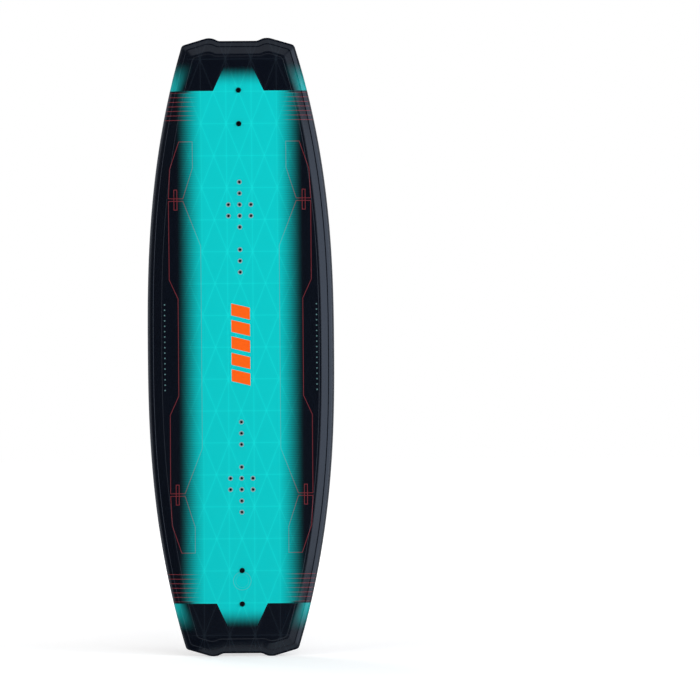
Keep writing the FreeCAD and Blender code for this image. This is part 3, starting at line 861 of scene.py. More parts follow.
# ---------------------------------------------------------------- shader arithmetic
class Field:
    """A number that varies over a surface, with arithmetic that adds Math nodes."""

    def __init__(self, tree: bpy.types.NodeTree, socket: bpy.types.NodeSocket) -> None:
        """Wrap an output socket of a node tree."""
        self.tree = tree
        self.socket = socket

    def math(self, operation: str, *others: Number, clamp: bool = False) -> "Field":
        """Add a Math node with this field as its first value.

        Args:
            operation: the node's operation.
            others: its other values, numbers or fields.
            clamp: whether the result is kept from 0 to 1.

        Returns:
            The node's result.
        """
        node = self.tree.nodes.new("ShaderNodeMath")
        node.operation = operation
        node.use_clamp = clamp
        for slot, value in zip(node.inputs, (self,) + others):
            plug(self.tree, slot, value)
        return Field(self.tree, node.outputs[0])

    def __add__(self, other: Number) -> "Field":
        """Sum."""
        return self.math("ADD", other)

    def __sub__(self, other: Number) -> "Field":
        """Difference."""
        return self.math("SUBTRACT", other)

    def __rsub__(self, other: float) -> "Field":
        """Difference from a number."""
        return self.math("MULTIPLY_ADD", -1.0, other)

    def __mul__(self, other: Number) -> "Field":
        """Product."""
        return self.math("MULTIPLY", other)

    def __truediv__(self, other: Number) -> "Field":
        """Quotient."""
        return self.math("DIVIDE", other)

    def size(self) -> "Field":
        """Absolute value."""
        return self.math("ABSOLUTE")

    def most(self, other: Number) -> "Field":
        """The larger of two."""
        return self.math("MAXIMUM", other)

    def off_grid(self) -> "Field":
        """Distance to the nearest whole number, from 0 to a half."""
        return self.math("PINGPONG", 0.5)

    def ramp(self, low: float, high: float) -> "Field":
        """Smooth rise from 0 at low to 1 at high.

        Args:
            low: where the rise starts.
            high: where it ends.

        Returns:
            The rise.
        """
        node = self.tree.nodes.new("ShaderNodeMapRange")
        node.interpolation_type = "SMOOTHSTEP"
        plug(self.tree, node.inputs["Value"], self)
        node.inputs["From Min"].default_value = low
        node.inputs["From Max"].default_value = high
        return Field(self.tree, node.outputs["Result"])

    def within(self, half: float, soft: float = 0.5) -> "Field":
        """1 where the size is under half, with a soft edge."""
        return 1.0 - self.size().ramp(half - soft, half + soft)

    def between(self, low: float, high: float, soft: float = 0.5) -> "Field":
        """1 from low to high, with soft edges."""
        return (self - (low + high) / 2).within((high - low) / 2, soft)


def plug(tree: bpy.types.NodeTree, slot: bpy.types.NodeSocket, value: Number) -> None:
    """Set a socket to a number, or link a field to it.

    Args:
        tree: the node tree of both.
        slot: the input socket.
        value: a number or a field.
    """
    if isinstance(value, Field):
        tree.links.new(value.socket, slot)
    else:
        slot.default_value = value


def object_axes(tree: bpy.types.NodeTree) -> tuple[Field, Field, Field]:
    """Object coordinates of the point that is shaded, in metres.

    Args:
        tree: the material's node tree.

    Returns:
        The coordinates along X, Y and Z.
    """
    split = tree.nodes.new("ShaderNodeSeparateXYZ")
    tree.links.new(tree.nodes.new("ShaderNodeTexCoord").outputs["Object"], split.inputs[0])
    return tuple(Field(tree, socket) for socket in split.outputs)


def stroke_group() -> bpy.types.NodeTree:
    """Node group that gives the distance from a plan point to a straight segment.

    With p the point from the segment's start and d the segment, the nearest place is the share
    p.d / d.d of d, kept from 0 to 1, and the result is the length of p less that much of d.

    Returns:
        The group, made on first use.
    """
    name = "segment_distance"
    if name in bpy.data.node_groups:
        return bpy.data.node_groups[name]
    group = bpy.data.node_groups.new(name, "ShaderNodeTree")
    for label in ("Point", "Start", "Run"):
        group.interface.new_socket(label, in_out="INPUT", socket_type="NodeSocketVector")
    group.interface.new_socket("Distance", in_out="OUTPUT", socket_type="NodeSocketFloat")
    source = group.nodes.new("NodeGroupInput").outputs
    sink = group.nodes.new("NodeGroupOutput").inputs

    def vector(operation: str, *sockets: bpy.types.NodeSocket) -> bpy.types.Node:
        """Add a Vector Math node.

        Args:
            operation: the node's operation.
            sockets: what its inputs are linked to.

        Returns:
            The node.
        """
        node = group.nodes.new("ShaderNodeVectorMath")
        node.operation = operation
        for slot, socket in zip(node.inputs, sockets):
            group.links.new(socket, slot)
        return node

    away = vector("SUBTRACT", source["Point"], source["Start"]).outputs["Vector"]
    along = Field(group, vector("DOT_PRODUCT", away, source["Run"]).outputs["Value"])
    whole = Field(group, vector("DOT_PRODUCT", source["Run"], source["Run"]).outputs["Value"])
    share = along.math("DIVIDE", whole, clamp=True)
    near = vector("SCALE", source["Run"])
    group.links.new(share.socket, near.inputs["Scale"])
    gap = vector("SUBTRACT", away, near.outputs["Vector"]).outputs["Vector"]
    group.links.new(vector("LENGTH", gap).outputs["Value"], sink["Distance"])
    return group


class Gloss(Enum):
    """How shiny a finish is: roughness, specular level, coat weight and coat roughness."""

    PRINT = (0.24, 0.24, 0.18, 0.08)
    MIRROR = (0.17, 0.26, 0.20, 0.05)
    SATIN = (0.42, 0.35, 0.0, 0.3)
    MATT = (0.75, 0.25, 0.0, 0.3)
    METAL = (0.32, 0.5, 0.0, 0.3)


class Surface:
    """One material under construction: its nodes, its plan coordinates and its layers of paint.

    x and u are the plan coordinates in millimetres, and side and along are their sizes.
    """

    def __init__(self, name: str, gloss: Gloss, metallic: float = 0.0) -> None:
        """Start a material.

        Args:
            name: the material's name.
            gloss: its shine.
            metallic: 1 for bare metal.
        """
        self.material = add_material(name)
        self.tree = self.material.node_tree
        self.shader = self.tree.nodes["Principled BSDF"]
        roughness, level, coat, coat_roughness = gloss.value
        for label, value in (("Roughness", roughness), ("Specular IOR Level", level),
                             ("Coat Weight", coat), ("Coat Roughness", coat_roughness),
                             ("Metallic", metallic)):
            self.shader.inputs[label].default_value = value
        self.roughness = roughness
        x, _, z = object_axes(self.tree)
        self.x = x / MM
        self.u = (z - BoardShape.middle_z) / MM
        self.side = self.x.size()
        self.along = self.u.size()
        self.colour: Union[Colour, bpy.types.NodeSocket] = (0.0, 0.0, 0.0)

    def noise(self, scale: float, detail: float = 3.0, stretch: Colour = (1.0, 1.0, 1.0)) -> Field:
        """Noise from 0 to 1 in the board's frame.

        Args:
            scale: features per metre.
            detail: octaves.
            stretch: scale of each axis.

        Returns:
            The noise.
        """
        mapping = self.tree.nodes.new("ShaderNodeMapping")
        position = self.tree.nodes.new("ShaderNodeTexCoord").outputs["Object"]
        self.tree.links.new(position, mapping.inputs["Vector"])
        mapping.inputs["Scale"].default_value = stretch
        node = self.tree.nodes.new("ShaderNodeTexNoise")
        self.tree.links.new(mapping.outputs["Vector"], node.inputs["Vector"])
        node.inputs["Scale"].default_value = scale
        node.inputs["Detail"].default_value = detail
        return Field(self.tree, node.outputs["Fac"])

    def ground(self, colour: Colour) -> None:
        """Set the colour that everything is painted over."""
        self.colour = colour

    def paint(self, colour: Union[Colour, bpy.types.NodeSocket], mask: Number) -> None:
        """Lay a colour over what is there, as strongly as the mask says."""
        self.colour = self.mix(self.colour, colour, mask)

    def mix(self, under: Union[Colour, bpy.types.NodeSocket], over: Union[Colour, bpy.types.NodeSocket],
            mask: Number) -> bpy.types.NodeSocket:
        """Blend two colours.

        Args:
            under, over: colours or colour sockets.
            mask: 0 for the first, 1 for the second.

        Returns:
            The blended colour's socket.
        """
        node = self.tree.nodes.new("ShaderNodeMix")
        node.data_type = "RGBA"
        plug(self.tree, node.inputs[0], mask)
        for slot, value in ((node.inputs[6], under), (node.inputs[7], over)):
            if isinstance(value, tuple):
                slot.default_value = (*value, 1.0)
            else:
                self.tree.links.new(value, slot)
        return node.outputs[2]

    def segments(self, point: tuple[Number, Number], path: Sequence[tuple[float, float]]) -> Field:
        """Distance from a plan point to a path of straight runs.

        Args:
            point: the two plan coordinates.
            path: the path's points, in millimetres.

        Returns:
            The distance to the nearest run.
        """
        join = self.tree.nodes.new("ShaderNodeCombineXYZ")
        plug(self.tree, join.inputs[0], point[0])
        plug(self.tree, join.inputs[1], point[1])
        nearest = None
        for start, end in zip(path, path[1:]):
            node = self.tree.nodes.new("ShaderNodeGroup")
            node.node_tree = stroke_group()
            self.tree.links.new(join.outputs[0], node.inputs["Point"])
            node.inputs["Start"].default_value = (*start, 0.0)
            node.inputs["Run"].default_value = (end[0] - start[0], end[1] - start[1], 0.0)
            distance = Field(self.tree, node.outputs["Distance"])
            nearest = distance if nearest is None else nearest.math("MINIMUM", distance)
        return nearest

    def finish(self, bump: Field, bump_depth: float, rough: Number = 0.0) -> bpy.types.Material:
        """Join the paint, bump and roughness to the shader.

        Args:
            bump: height from 0 to 1.
            bump_depth: how deep a height of 1 is, in metres.
            rough: added to the gloss's roughness.

        Returns:
            The finished material.
        """
        slot = self.shader.inputs["Base Color"]
        if isinstance(self.colour, tuple):
            slot.default_value = (*self.colour, 1.0)
        else:
            self.tree.links.new(self.colour, slot)
        if isinstance(rough, Field):
            plug(self.tree, self.shader.inputs["Roughness"], rough + self.roughness)
        node = self.tree.nodes.new("ShaderNodeBump")
        plug(self.tree, node.inputs["Height"], bump)
        node.inputs["Distance"].default_value = bump_depth
        self.tree.links.new(node.outputs["Normal"], self.shader.inputs["Normal"])
        return self.material


# ---------------------------------------------------------------- the prints
@dataclass(frozen=True)
class DeckPrint:
    """The deck's print: a teal field that fades to navy black, fine lines and plain bars.

    Pairs of numbers are where a fade starts and ends.
    """

    teal: Colour = linear(0, 197, 195)
    teal_light: Colour = linear(10, 215, 210)
    navy: Colour = linear(8, 12, 21)
    lattice_dark: Colour = linear(34, 42, 50)
    red: Colour = linear(128, 48, 52)
    rose: Colour = linear(92, 158, 162)
    orange: Colour = linear(255, 98, 12)
    dot: Colour = linear(110, 150, 150)
    # colour of the painted highlight along the outline's rim
    rim_highlight: Colour = linear(92, 95, 101)
    gloss_tint: Colour = (0.70, 0.82, 1.0)
    fade: tuple[float, float] = (76.0, 143.0)
    hatch_pitch: float = 4.0
    hatch_strength: float = 0.9
    comb_pitch: float = 3.0
    cut: float = 577.0
    cut_soft: float = 0.7
    wedge_half: float = 57.0
    wedge_slope: float = 0.47
    wedge_fade: tuple[float, float] = (8.0, 54.0)
    wedge_comb: float = 8.0
    rail_slope: float = 0.45
    rail_across: tuple[float, float] = (122.0, 158.0)
    rail_along: tuple[float, float] = (-12.0, 66.0)
    rail_comb: float = 6.0
    rail_strength: float = 0.85
    line_half: float = 0.62
    line_soft: float = 0.45
    lattice_across: float = 57.0
    lattice_along: float = 72.0
    lattice_slant: float = 0.93
    lattice_line: tuple[float, float] = (0.2, 1.7)
    lattice_haze: tuple[float, float] = (0.0, 9.0)
    panel_outer_x: tuple[float, float] = (141.0, 160.6)
    panel_inner_x: tuple[float, float] = (88.7, 128.0)
    pentagon_x: float = 105.5
    pentagon_end: float = 463.7
    cross: tuple[float, float] = (144.8, 333.0)
    cross_slot: tuple[float, float] = (3.4, 22.5)
    cross_gap: float = 2.9
    cross_reach: float = 16.6
    stripe_first: float = 511.8
    stripe_pitch: float = 10.2
    stripe_count: int = 7
    stripe_fade: tuple[float, float] = (88.0, 132.0)
    bar_pitch: float = 37.2
    bar_half: float = 13.4
    bar_reach: float = 21.0
    bar_slant: float = 0.24
    bars_centre: float = 6.0
    bars_reach: float = 92.0
    ring_u: float = -527.0
    ring_radii: tuple[float, float] = (20.0, 14.5)
    dot_pitch: float = 12.1
    dot_column: float = 171.8
    dot_radius: float = 1.5
    dots_reach: float = 99.0

    def lattice(self, surface: Surface) -> Field:
        """Triangular lattice: two families of slanted lines, level lines and upright lines.

        Args:
            surface: the surface that is painted.

        Returns:
            How light the lattice is, from 0 to 1.
        """
        across, along = surface.x / self.lattice_across, surface.u / (2 * self.lattice_along)
        slant = self.lattice_slant * self.lattice_across
        lines = (
            (across - along).off_grid() * slant,
            (across + along).off_grid() * slant,
            (across + 0.5).off_grid() * self.lattice_across,
            (along * 2.0).off_grid() * self.lattice_along,
        )
        glow = None
        for distance in lines:
            near = 1.0 - distance.ramp(*self.lattice_line)
            haze = 1.0 - distance.ramp(*self.lattice_haze)
            mark = near * 0.45 + haze * haze * 0.12
            glow = mark if glow is None else glow + mark
        return glow.math("MINIMUM", 1.0)

    @staticmethod
    def _teeth(value: Field, pitch: float) -> Field:
        """Triangle wave from -0.5 to 0.5."""
        return (value / pitch).off_grid() * 2.0 - 0.5

    def teal_mask(self, surface: Surface) -> Field:
        """Where the teal shows: the middle field, the wedge at each tip and the tips' rails.

        Args:
            surface: the surface that is painted.

        Returns:
            1 where the teal is full.
        """
        side, along = surface.side, surface.along
        fade = 1.0 - side.ramp(*self.fade)
        hatch = self._teeth(surface.u, self.hatch_pitch)
        middle = fade + hatch * (fade * (1.0 - fade)) * self.hatch_strength
        middle = middle.math("MAXIMUM", 0.0, clamp=True)
        middle = middle * (1.0 - along.ramp(self.cut - self.cut_soft, self.cut + self.cut_soft))
        beyond = along - self.cut
        past = beyond.ramp(-self.cut_soft, self.cut_soft)
        comb = self._teeth(surface.x, self.comb_pitch)
        wedge = (side + beyond * self.wedge_slope - self.wedge_half).math("LESS_THAN", 0.0)
        wedge = wedge * (1.0 - (beyond + comb * self.wedge_comb).ramp(*self.wedge_fade))
        rail = (side + beyond * self.rail_slope).ramp(*self.rail_across) * self.rail_strength
        rail = rail * (1.0 - (beyond + comb * self.rail_comb).ramp(*self.rail_along))
        return middle + past * wedge.most(rail)

    def _line(self, distance: Field) -> Field:
        """Stroke of the print's line width about a distance of 0."""
        return distance.within(self.line_half, self.line_soft)

    def strokes(self, surface: Surface) -> Field:
        """The fine lines: borders of the side panels, pentagons, crosses and tip stripes.

        Args:
            surface: the surface that is painted.

        Returns:
            1 on a line.
        """
        side, along = surface.side, surface.along
        cross_x, cross_u = self.cross
        before, after = cross_u - self.cross_gap, cross_u + self.cross_gap
        outer_x, outer_end = self.panel_outer_x
        inner_x, inner_end = self.panel_inner_x
        paths = (
            ((outer_x, 0.0), (outer_x, 110.0), (outer_end, 153.0), (outer_end, before)),
            ((inner_x, 0.0), (inner_x, 229.0), (inner_end, before)),
            ((inner_end, after), (self.pentagon_x, 405.3), (self.pentagon_x, self.pentagon_end),
             (135.9, self.pentagon_end), (157.2, 402.0), (outer_end, after)),
        )
        # The cross is a slot outline on two level lines.
        dx, du = (side - cross_x).size(), (along - cross_u).size()
        half_x, half_u = self.cross_slot
        slot = self._line((dx - half_x).most(du - half_u)) * 1.3
        level = self._line(du - self.cross_gap) * dx.within(self.cross_reach)
        past = along - self.stripe_first
        stripe = self._line((past / self.stripe_pitch).off_grid() * self.stripe_pitch)
        stripe = stripe * (past + 5.0).between(0.0, (self.stripe_count - 0.5) * self.stripe_pitch)
        marks = slot.most(level).most(stripe * side.ramp(*self.stripe_fade))
        for path in paths:
            marks = marks.most(self._line(surface.segments((side, along), path)))
        return marks.math("MINIMUM", 1.0)

    def painted_rim_highlight(self, surface: Surface) -> Field:
        """Painted highlight along the outline, where the rim catches light: the half width less the side.

        Args:
            surface: the surface that is painted.

        Returns:
            1 at the outline, 0 inside.
        """
        board = BoardShape()
        reach = (board.half - board.shoulder_drop) / MM
        loss = (board.width / 2 - board.shoulder_half) / MM
        half = board.width / 2 / MM - (surface.along / reach).math("POWER", board.rail_power) * loss
        return 1.0 - (half - surface.side).ramp(-3.0, 8.0)

    def bars(self, surface: Surface) -> Field:
        """Plain slanted bars on the centre line, with a gap between them.

        Args:
            surface: the surface that is painted.

        Returns:
            1 on a bar.
        """
        slanted = surface.u + surface.x * self.bar_slant - self.bars_centre
        bar = (slanted / self.bar_pitch).off_grid() * self.bar_pitch
        shown = surface.x.within(self.bar_reach, 0.4) * slanted.within(self.bars_reach, 0.4)
        return bar.within(self.bar_half, 0.4) * shown

    def ring(self, surface: Surface) -> Field:
        """Plain double ring near the tail.

        Args:
            surface: the surface that is painted.

        Returns:
            1 on the outer ring, and half of that on the inner one.
        """
        up = surface.u - self.ring_u
        away = (surface.x * surface.x + up * up).math("SQRT")
        outer, inner = self.ring_radii
        return (away - outer).within(0.8, 0.4) + (away - inner).within(0.5, 0.4) * 0.5

    def dots(self, surface: Surface) -> Field:
        """A row of tiny dots down each side.

        Args:
            surface: the surface that is painted.

        Returns:
            1 on a dot.
        """
        row = (surface.u / self.dot_pitch).off_grid() * self.dot_pitch
        off = surface.side - self.dot_column
        near = (off * off + row * row).math("SQRT")
        return near.within(self.dot_radius, 0.7) * surface.u.within(self.dots_reach)

    def material(self) -> bpy.types.Material:
        """Build the print's material.

        Returns:
            The finished material.
        """
        surface = Surface("deck_print", Gloss.PRINT)
        side, along = surface.side, surface.along
        lattice, teal = self.lattice(surface), self.teal_mask(surface)
        surface.ground(self.navy)
        plate = along.ramp(self.cut - 1.0, self.cut + 1.0) * (1.0 - side.ramp(100.0, 125.0))
        surface.paint(self.lattice_dark, lattice * (plate * 0.45 + 0.06))
        surface.paint(surface.mix(self.teal, self.teal_light, lattice), teal)
        surface.paint(self.navy, (along - self.cut + 2.0).within(1.3, 0.4) * side.ramp(104.0, 120.0))
        line_colour = surface.mix(self.red, self.rose, teal)
        surface.paint(line_colour, self.strokes(surface) * (0.85 - teal * 0.35))
        surface.paint(self.orange, self.bars(surface))
        surface.paint(self.rose, self.ring(surface) * 0.45)
        surface.paint(self.dot, self.dots(surface) * 0.7)
        # painted highlight: a pale grey band along the outline, weaker towards the tips
        surface.paint(self.rim_highlight, self.painted_rim_highlight(surface) * (0.9 - along.ramp(560.0, 590.0) * 0.6))
        grain = surface.noise(900.0, 2.0)
        wave = surface.noise(9.0, 1.0, (1.0, 1.0, 0.35))
        surface.shader.inputs["Specular Tint"].default_value = (*self.gloss_tint, 1.0)
        return surface.finish(grain * 0.12 + wave, bump_depth=0.00016, rough=(grain - 0.5) * 0.10)


@dataclass(frozen=True)
class BasePrint:
    """The base's finish: deep glossy black with one plain orange mark and faint wear."""

    black: Colour = linear(8, 8, 12)
    cloud: Colour = linear(26, 26, 34)
    orange: Colour = linear(255, 98, 28)
    red: Colour = linear(120, 42, 34)
    gloss_tint: Colour = (0.86, 0.88, 1.0)
    bar_pitch: float = 91.0
    bar_half: float = 37.0
    bar_reach: float = 51.0
    bar_slant: float = 0.22
    bars_centre: float = 28.0
    bars_reach: float = 222.0
    line_half: float = 0.9
    line_ends: tuple[float, float] = (344.0, 395.0)

    def material(self) -> bpy.types.Material:
        """Build the base's material.

        Returns:
            The finished material.
        """
        surface = Surface("base_gloss", Gloss.MIRROR)
        cloud = surface.noise(14.0, 4.0, (1.0, 1.0, 0.3))
        surface.ground(self.black)
        surface.paint(self.cloud, cloud.ramp(0.35, 0.8) * 0.7)
        surface.shader.inputs["Specular Tint"].default_value = (*self.gloss_tint, 1.0)
        slanted = surface.u - surface.x * self.bar_slant - self.bars_centre
        bar = (slanted / self.bar_pitch).off_grid() * self.bar_pitch
        shown = surface.x.within(self.bar_reach, 0.5) * slanted.within(self.bars_reach, 0.5)
        surface.paint(self.orange, bar.within(self.bar_half, 0.5) * shown)
        line = surface.x.within(self.line_half, 0.4) * surface.u.between(*self.line_ends)
        surface.paint(self.red, line)
        streaks = surface.noise(60.0, 4.0, (1.0, 1.0, 0.06))
        mottle = surface.noise(260.0, 3.0) * 0.07 + cloud * 0.08
        scuff = streaks.ramp(0.60, 0.78) * 0.08 + mottle
        return surface.finish(surface.noise(5.0, 2.0) + streaks * 0.03, bump_depth=0.00018, rough=scuff)


@dataclass(frozen=True)
class PlainFinish:
    """Finish of a hidden or small part: two close colours, mottled, with a fitting grain."""

    name: str
    light: Colour
    dark: Colour
    gloss: Gloss
    grain_scale: float = 400.0
    grain_depth: float = 0.00005
    stretch: Colour = (1.0, 1.0, 1.0)
    metallic: float = 0.0

    def material(self) -> bpy.types.Material:
        """Build the finish's material.

        Returns:
            The finished material.
        """
        surface = Surface(self.name, self.gloss, self.metallic)
        grain = surface.noise(self.grain_scale, 4.0, self.stretch)
        patches = surface.noise(self.grain_scale / 12, 2.0)
        surface.ground(self.light)
        surface.paint(self.dark, (grain * 0.6 + patches * 0.6).ramp(0.35, 0.85))
        return surface.finish(grain, bump_depth=self.grain_depth, rough=(patches - 0.5) * 0.16)


@dataclass(frozen=True)
class WovenFinish:
    """Finish of the glass laminates: a plain weave seen through clear resin."""

    name: str = "glass_laminate"
    light: Colour = linear(206, 214, 182)
    dark: Colour = linear(150, 162, 128)
    thread: float = 1.6

    def material(self) -> bpy.types.Material:
        """Build the weave: two crossed wave trains that take turns on top.

        Returns:
            The finished material.
        """
        surface = Surface(self.name, Gloss.SATIN)
        turn = math.pi / self.thread
        warp, weft = (surface.x * turn).math("SINE"), (surface.u * turn).math("SINE")
        over = (warp * weft).ramp(-0.2, 0.2)
        weave = warp.size() * over + weft.size() * (1.0 - over)
        surface.ground(self.dark)
        surface.paint(self.light, weave)
        return surface.finish(weave, bump_depth=0.0002, rough=(weave - 0.5) * -0.1)


@dataclass(frozen=True)
class RailFinish:
    """Finish of the rail band: black edge plastic with a fine machined grain along it."""

    def material(self) -> bpy.types.Material:
        """Build the band's material.

        Returns:
            The finished material.
        """
        surface = Surface("rail_black", Gloss.SATIN)
        lines = surface.noise(1500.0, 2.0, (1.0, 1.0, 0.02))
        surface.ground(linear(20, 22, 28))
        surface.paint(linear(38, 41, 48), lines.ramp(0.45, 0.75) * 0.7)
        return surface.finish(lines, bump_depth=0.00004, rough=(lines - 0.5) * 0.2)


@dataclass(frozen=True)
class InsertFinish:
    """Finish of the binding inserts: pale turned steel, with painted shade in the threaded hole."""

    pitch: float = 25.4
    station: float = 321.8
    # radius of the painted shade in each hole's mouth, in millimetres
    mouth: float = 3.0

    def material(self) -> bpy.types.Material:
        """Build the inserts' material, with rings about each hole and painted shade inside it.

        Returns:
            The finished material.
        """
        surface = Surface("insert_steel", Gloss.METAL, 0.15)
        across = (surface.x / self.pitch).off_grid() * self.pitch
        along = ((surface.along - self.station) / self.pitch).off_grid() * self.pitch
        away = (across * across + along * along).math("SQRT")
        rings = (away * 9.0).math("SINE") * 0.5 + 0.5
        surface.ground(linear(140, 172, 176))
        surface.paint(linear(96, 124, 130), rings * 0.35 + surface.noise(700.0).ramp(0.4, 0.7) * 0.35)
        # painted shade: the threaded hole's mouth is painted near black
        surface.paint(linear(16, 20, 26), away.within(self.mouth, 0.35))
        return surface.finish(rings, bump_depth=0.00003, rough=rings * 0.08)


ALONG_GRAIN = (1.0, 1.0, 0.1)
FINISHES = {
    "glass_laminate": WovenFinish(),
    "rail": RailFinish(),
    "insert_steel": InsertFinish(),
    "foam": PlainFinish("core_foam", linear(226, 218, 186), linear(196, 184, 146), Gloss.MATT,
                        grain_scale=900.0, grain_depth=0.0003),
    "dense_block": PlainFinish("dense_block", linear(190, 156, 112), linear(150, 116, 78), Gloss.MATT,
                               grain_scale=500.0, grain_depth=0.0002, stretch=ALONG_GRAIN),
    "fin_filler": PlainFinish("fin_filler", linear(82, 84, 90), linear(62, 64, 70), Gloss.MATT,
                              grain_scale=700.0),
    "fin_plastic": PlainFinish("fin_plastic", linear(24, 25, 30), linear(13, 14, 18), Gloss.SATIN,
                               grain_scale=1200.0, grain_depth=0.00006),
    "screw_steel": PlainFinish("screw_steel", linear(40, 42, 48), linear(22, 24, 30), Gloss.METAL,
                               grain_scale=1800.0, grain_depth=0.00002, metallic=1.0),
    "washer_steel": PlainFinish("washer_steel", linear(66, 68, 76), linear(40, 42, 48), Gloss.METAL,
                                grain_scale=1800.0, grain_depth=0.00002, metallic=1.0),
    "sleeve_aluminium": PlainFinish("sleeve_aluminium", linear(216, 218, 222), linear(188, 190, 196),
                                    Gloss.METAL, grain_scale=1400.0, grain_depth=0.00002,
                                    stretch=ALONG_GRAIN, metallic=1.0),
    "nut_brass": PlainFinish("nut_brass", linear(222, 186, 110), linear(186, 146, 78), Gloss.METAL,
                             grain_scale=1400.0, grain_depth=0.00002, metallic=1.0),
}


# ---------------------------------------------------------------- the board
class Wakeboard:
    """The whole board: its skins and fins as surfaces, its other parts as CAD nodes."""

    def __init__(self) -> None:
        """Set up the shape that all parts share."""
        self.shape = BoardShape()
        self.outline = Outline(self.shape)
        self.hardware = Hardware(self.shape)
        self.finishes: dict[str, bpy.types.Material] = {}

    def finish(self, slot: str) -> bpy.types.Material:
        """Material of a slot of the record, made on first use.

        Args:
            slot: name of the slot.

        Returns:
            Its material.
        """
        if slot not in self.finishes:
            self.finishes[slot] = FINISHES[slot].material()
        return self.finishes[slot]

    def attach(self, piece: bpy.types.Object, node: str, material: bpy.types.Material) -> None:
        """Dress a new piece and let it stand for a CAD node.

        Args:
            piece: the new piece.
            node: the CAD node that it replaces.
            material: its material.
        """
        piece.data.materials.clear()
        piece.data.materials.append(material)
        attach(piece, ROOT)
        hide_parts(node)
        LOG.info("%s stands for %s: %d faces", piece.name, node, len(piece.data.polygons))

    def skins(self) -> None:
        """Make the two skins."""
        deck = DeckSkin(self.outline, self.hardware).build()
        self.attach(deck, "deck_sheet", DeckPrint().material())
        base = BaseSkin(self.outline, self.hardware).build()
        self.attach(base, "base_sheet", BasePrint().material())

    def fins(self) -> None:
        """Make the two centre fins."""
        for name, end in (("front", 1), ("rear", -1)):
            blade = CentreFin(self.shape, end).build()
            self.attach(blade, f"centre_fin_{name}", self.finish("fin_plastic"))

    def dress_nodes(self) -> None:
        """Give every CAD node that stays its finish, by the record's slots."""
        slots = {part["node"]: part["material_slot"] for part in frame["record"]["subparts"]}
        for node, piece in frame["nodes"].items():
            if slots.get(node) not in FINISHES:
                continue
            material = self.finish(slots[node])
            for slot in piece.material_slots:
                slot.material = material
            LOG.info("%s is finished as %s", node, material.name)


# ---------------------------------------------------------------- the studio
@dataclass(frozen=True)
class SoftBox:
    """One rectangular lamp that faces a point on the board."""

    name: str
    place: tuple[float, float, float]
    size: tuple[float, float]
    power: float
    seen_in_gloss: bool = True
    tint: Colour = (1.0, 1.0, 1.0)
    aim: tuple[float, float, float] = (0.0, 0.0, 0.7)

    def build(self) -> None:
        """Make the lamp."""
        data = bpy.data.lights.new(self.name, "AREA")
        data.shape = "RECTANGLE"
        data.size, data.size_y = self.size
        data.energy = self.power
        data.color = self.tint
        lamp = add_object(self.name, data)
        ahead = np.array(self.aim) - np.array(self.place)
        lamp.location = self.place
        turn = math.atan2(-ahead[0], ahead[1])
        tilt = math.atan2(np.hypot(ahead[0], ahead[1]), -ahead[2])
        lamp.rotation_euler = (tilt, 0.0, turn)
        lamp.visible_glossy = self.seen_in_gloss
        lamp.visible_camera = False


@dataclass(frozen=True)
class Drape:
    """Curved dark drape about the set, seen only in reflections.

    It runs out over the floor from its hem, turns up in a quarter circle and ends at its
    height; each line of it is swept about the board from start to end, in degrees from -Y
    towards +X.
    """

    name: str
    start: float
    end: float
    hem: float
    height: float
    strength: float
    radius: float = 6.0
    turn_radius: float = 1.0
    lift: float = 0.004
    tint: Colour = (0.86, 0.93, 1.0)
    faint: float = 0.3
    left_fold: tuple[float, float] = (-0.10, 0.25)
    left_strength: float = 1.2
    right_fold: tuple[float, float] = (0.45, 0.75)
    right_strength: float = 0.7
    folds_from: tuple[float, float] = (1.0, 2.0)

    def surface(self) -> bpy.types.Object:
        """Sweep the drape's line about the board.

        Returns:
            The drape, without a material.
        """
        angle = np.radians(np.linspace(self.start, self.end, 49))
        ahead = np.stack([np.sin(angle), -np.cos(angle), np.zeros_like(angle)], axis=-1)
        turn = np.linspace(0.0, math.pi / 2, 9)
        bend = self.radius - self.turn_radius * (1.0 - np.sin(turn))
        climb = self.lift + self.turn_radius * (1.0 - np.cos(turn))
        reach = np.concatenate([[self.hem], bend, [self.radius]])
        rise = np.concatenate([[self.lift], climb, [self.height]])
        shell = Shell()
        shell.grid(ahead[None] * reach[:, None, None] + rise[:, None, None] * np.array((0.0, 0.0, 1.0)))
        return shell.piece(self.name)

    def material(self) -> bpy.types.Material:
        """Faint glow, with two brighter folds on the part that is behind the board.

        Returns:
            The material.
        """
        material = add_material(self.name)
        tree = material.node_tree
        tree.nodes.remove(tree.nodes["Principled BSDF"])
        glow = tree.nodes.new("ShaderNodeEmission")
        x, y, _ = object_axes(tree)
        left = (x * -1.0).ramp(*self.left_fold) * self.left_strength
        folds = left + x.ramp(*self.right_fold) * self.right_strength
        bright = folds * y.ramp(*self.folds_from) + self.faint
        plug(tree, glow.inputs["Strength"], bright * self.strength)
        glow.inputs["Color"].default_value = (*self.tint, 1.0)
        tree.links.new(glow.outputs[0], tree.nodes["Material Output"].inputs["Surface"])
        return material

    def build(self) -> None:
        """Make the drape and hide it from all but reflections."""
        drape = self.surface()
        drape.data.materials.append(self.material())
        for ray in ("camera", "diffuse", "shadow", "transmission", "volume_scatter"):
            setattr(drape, f"visible_{ray}", False)


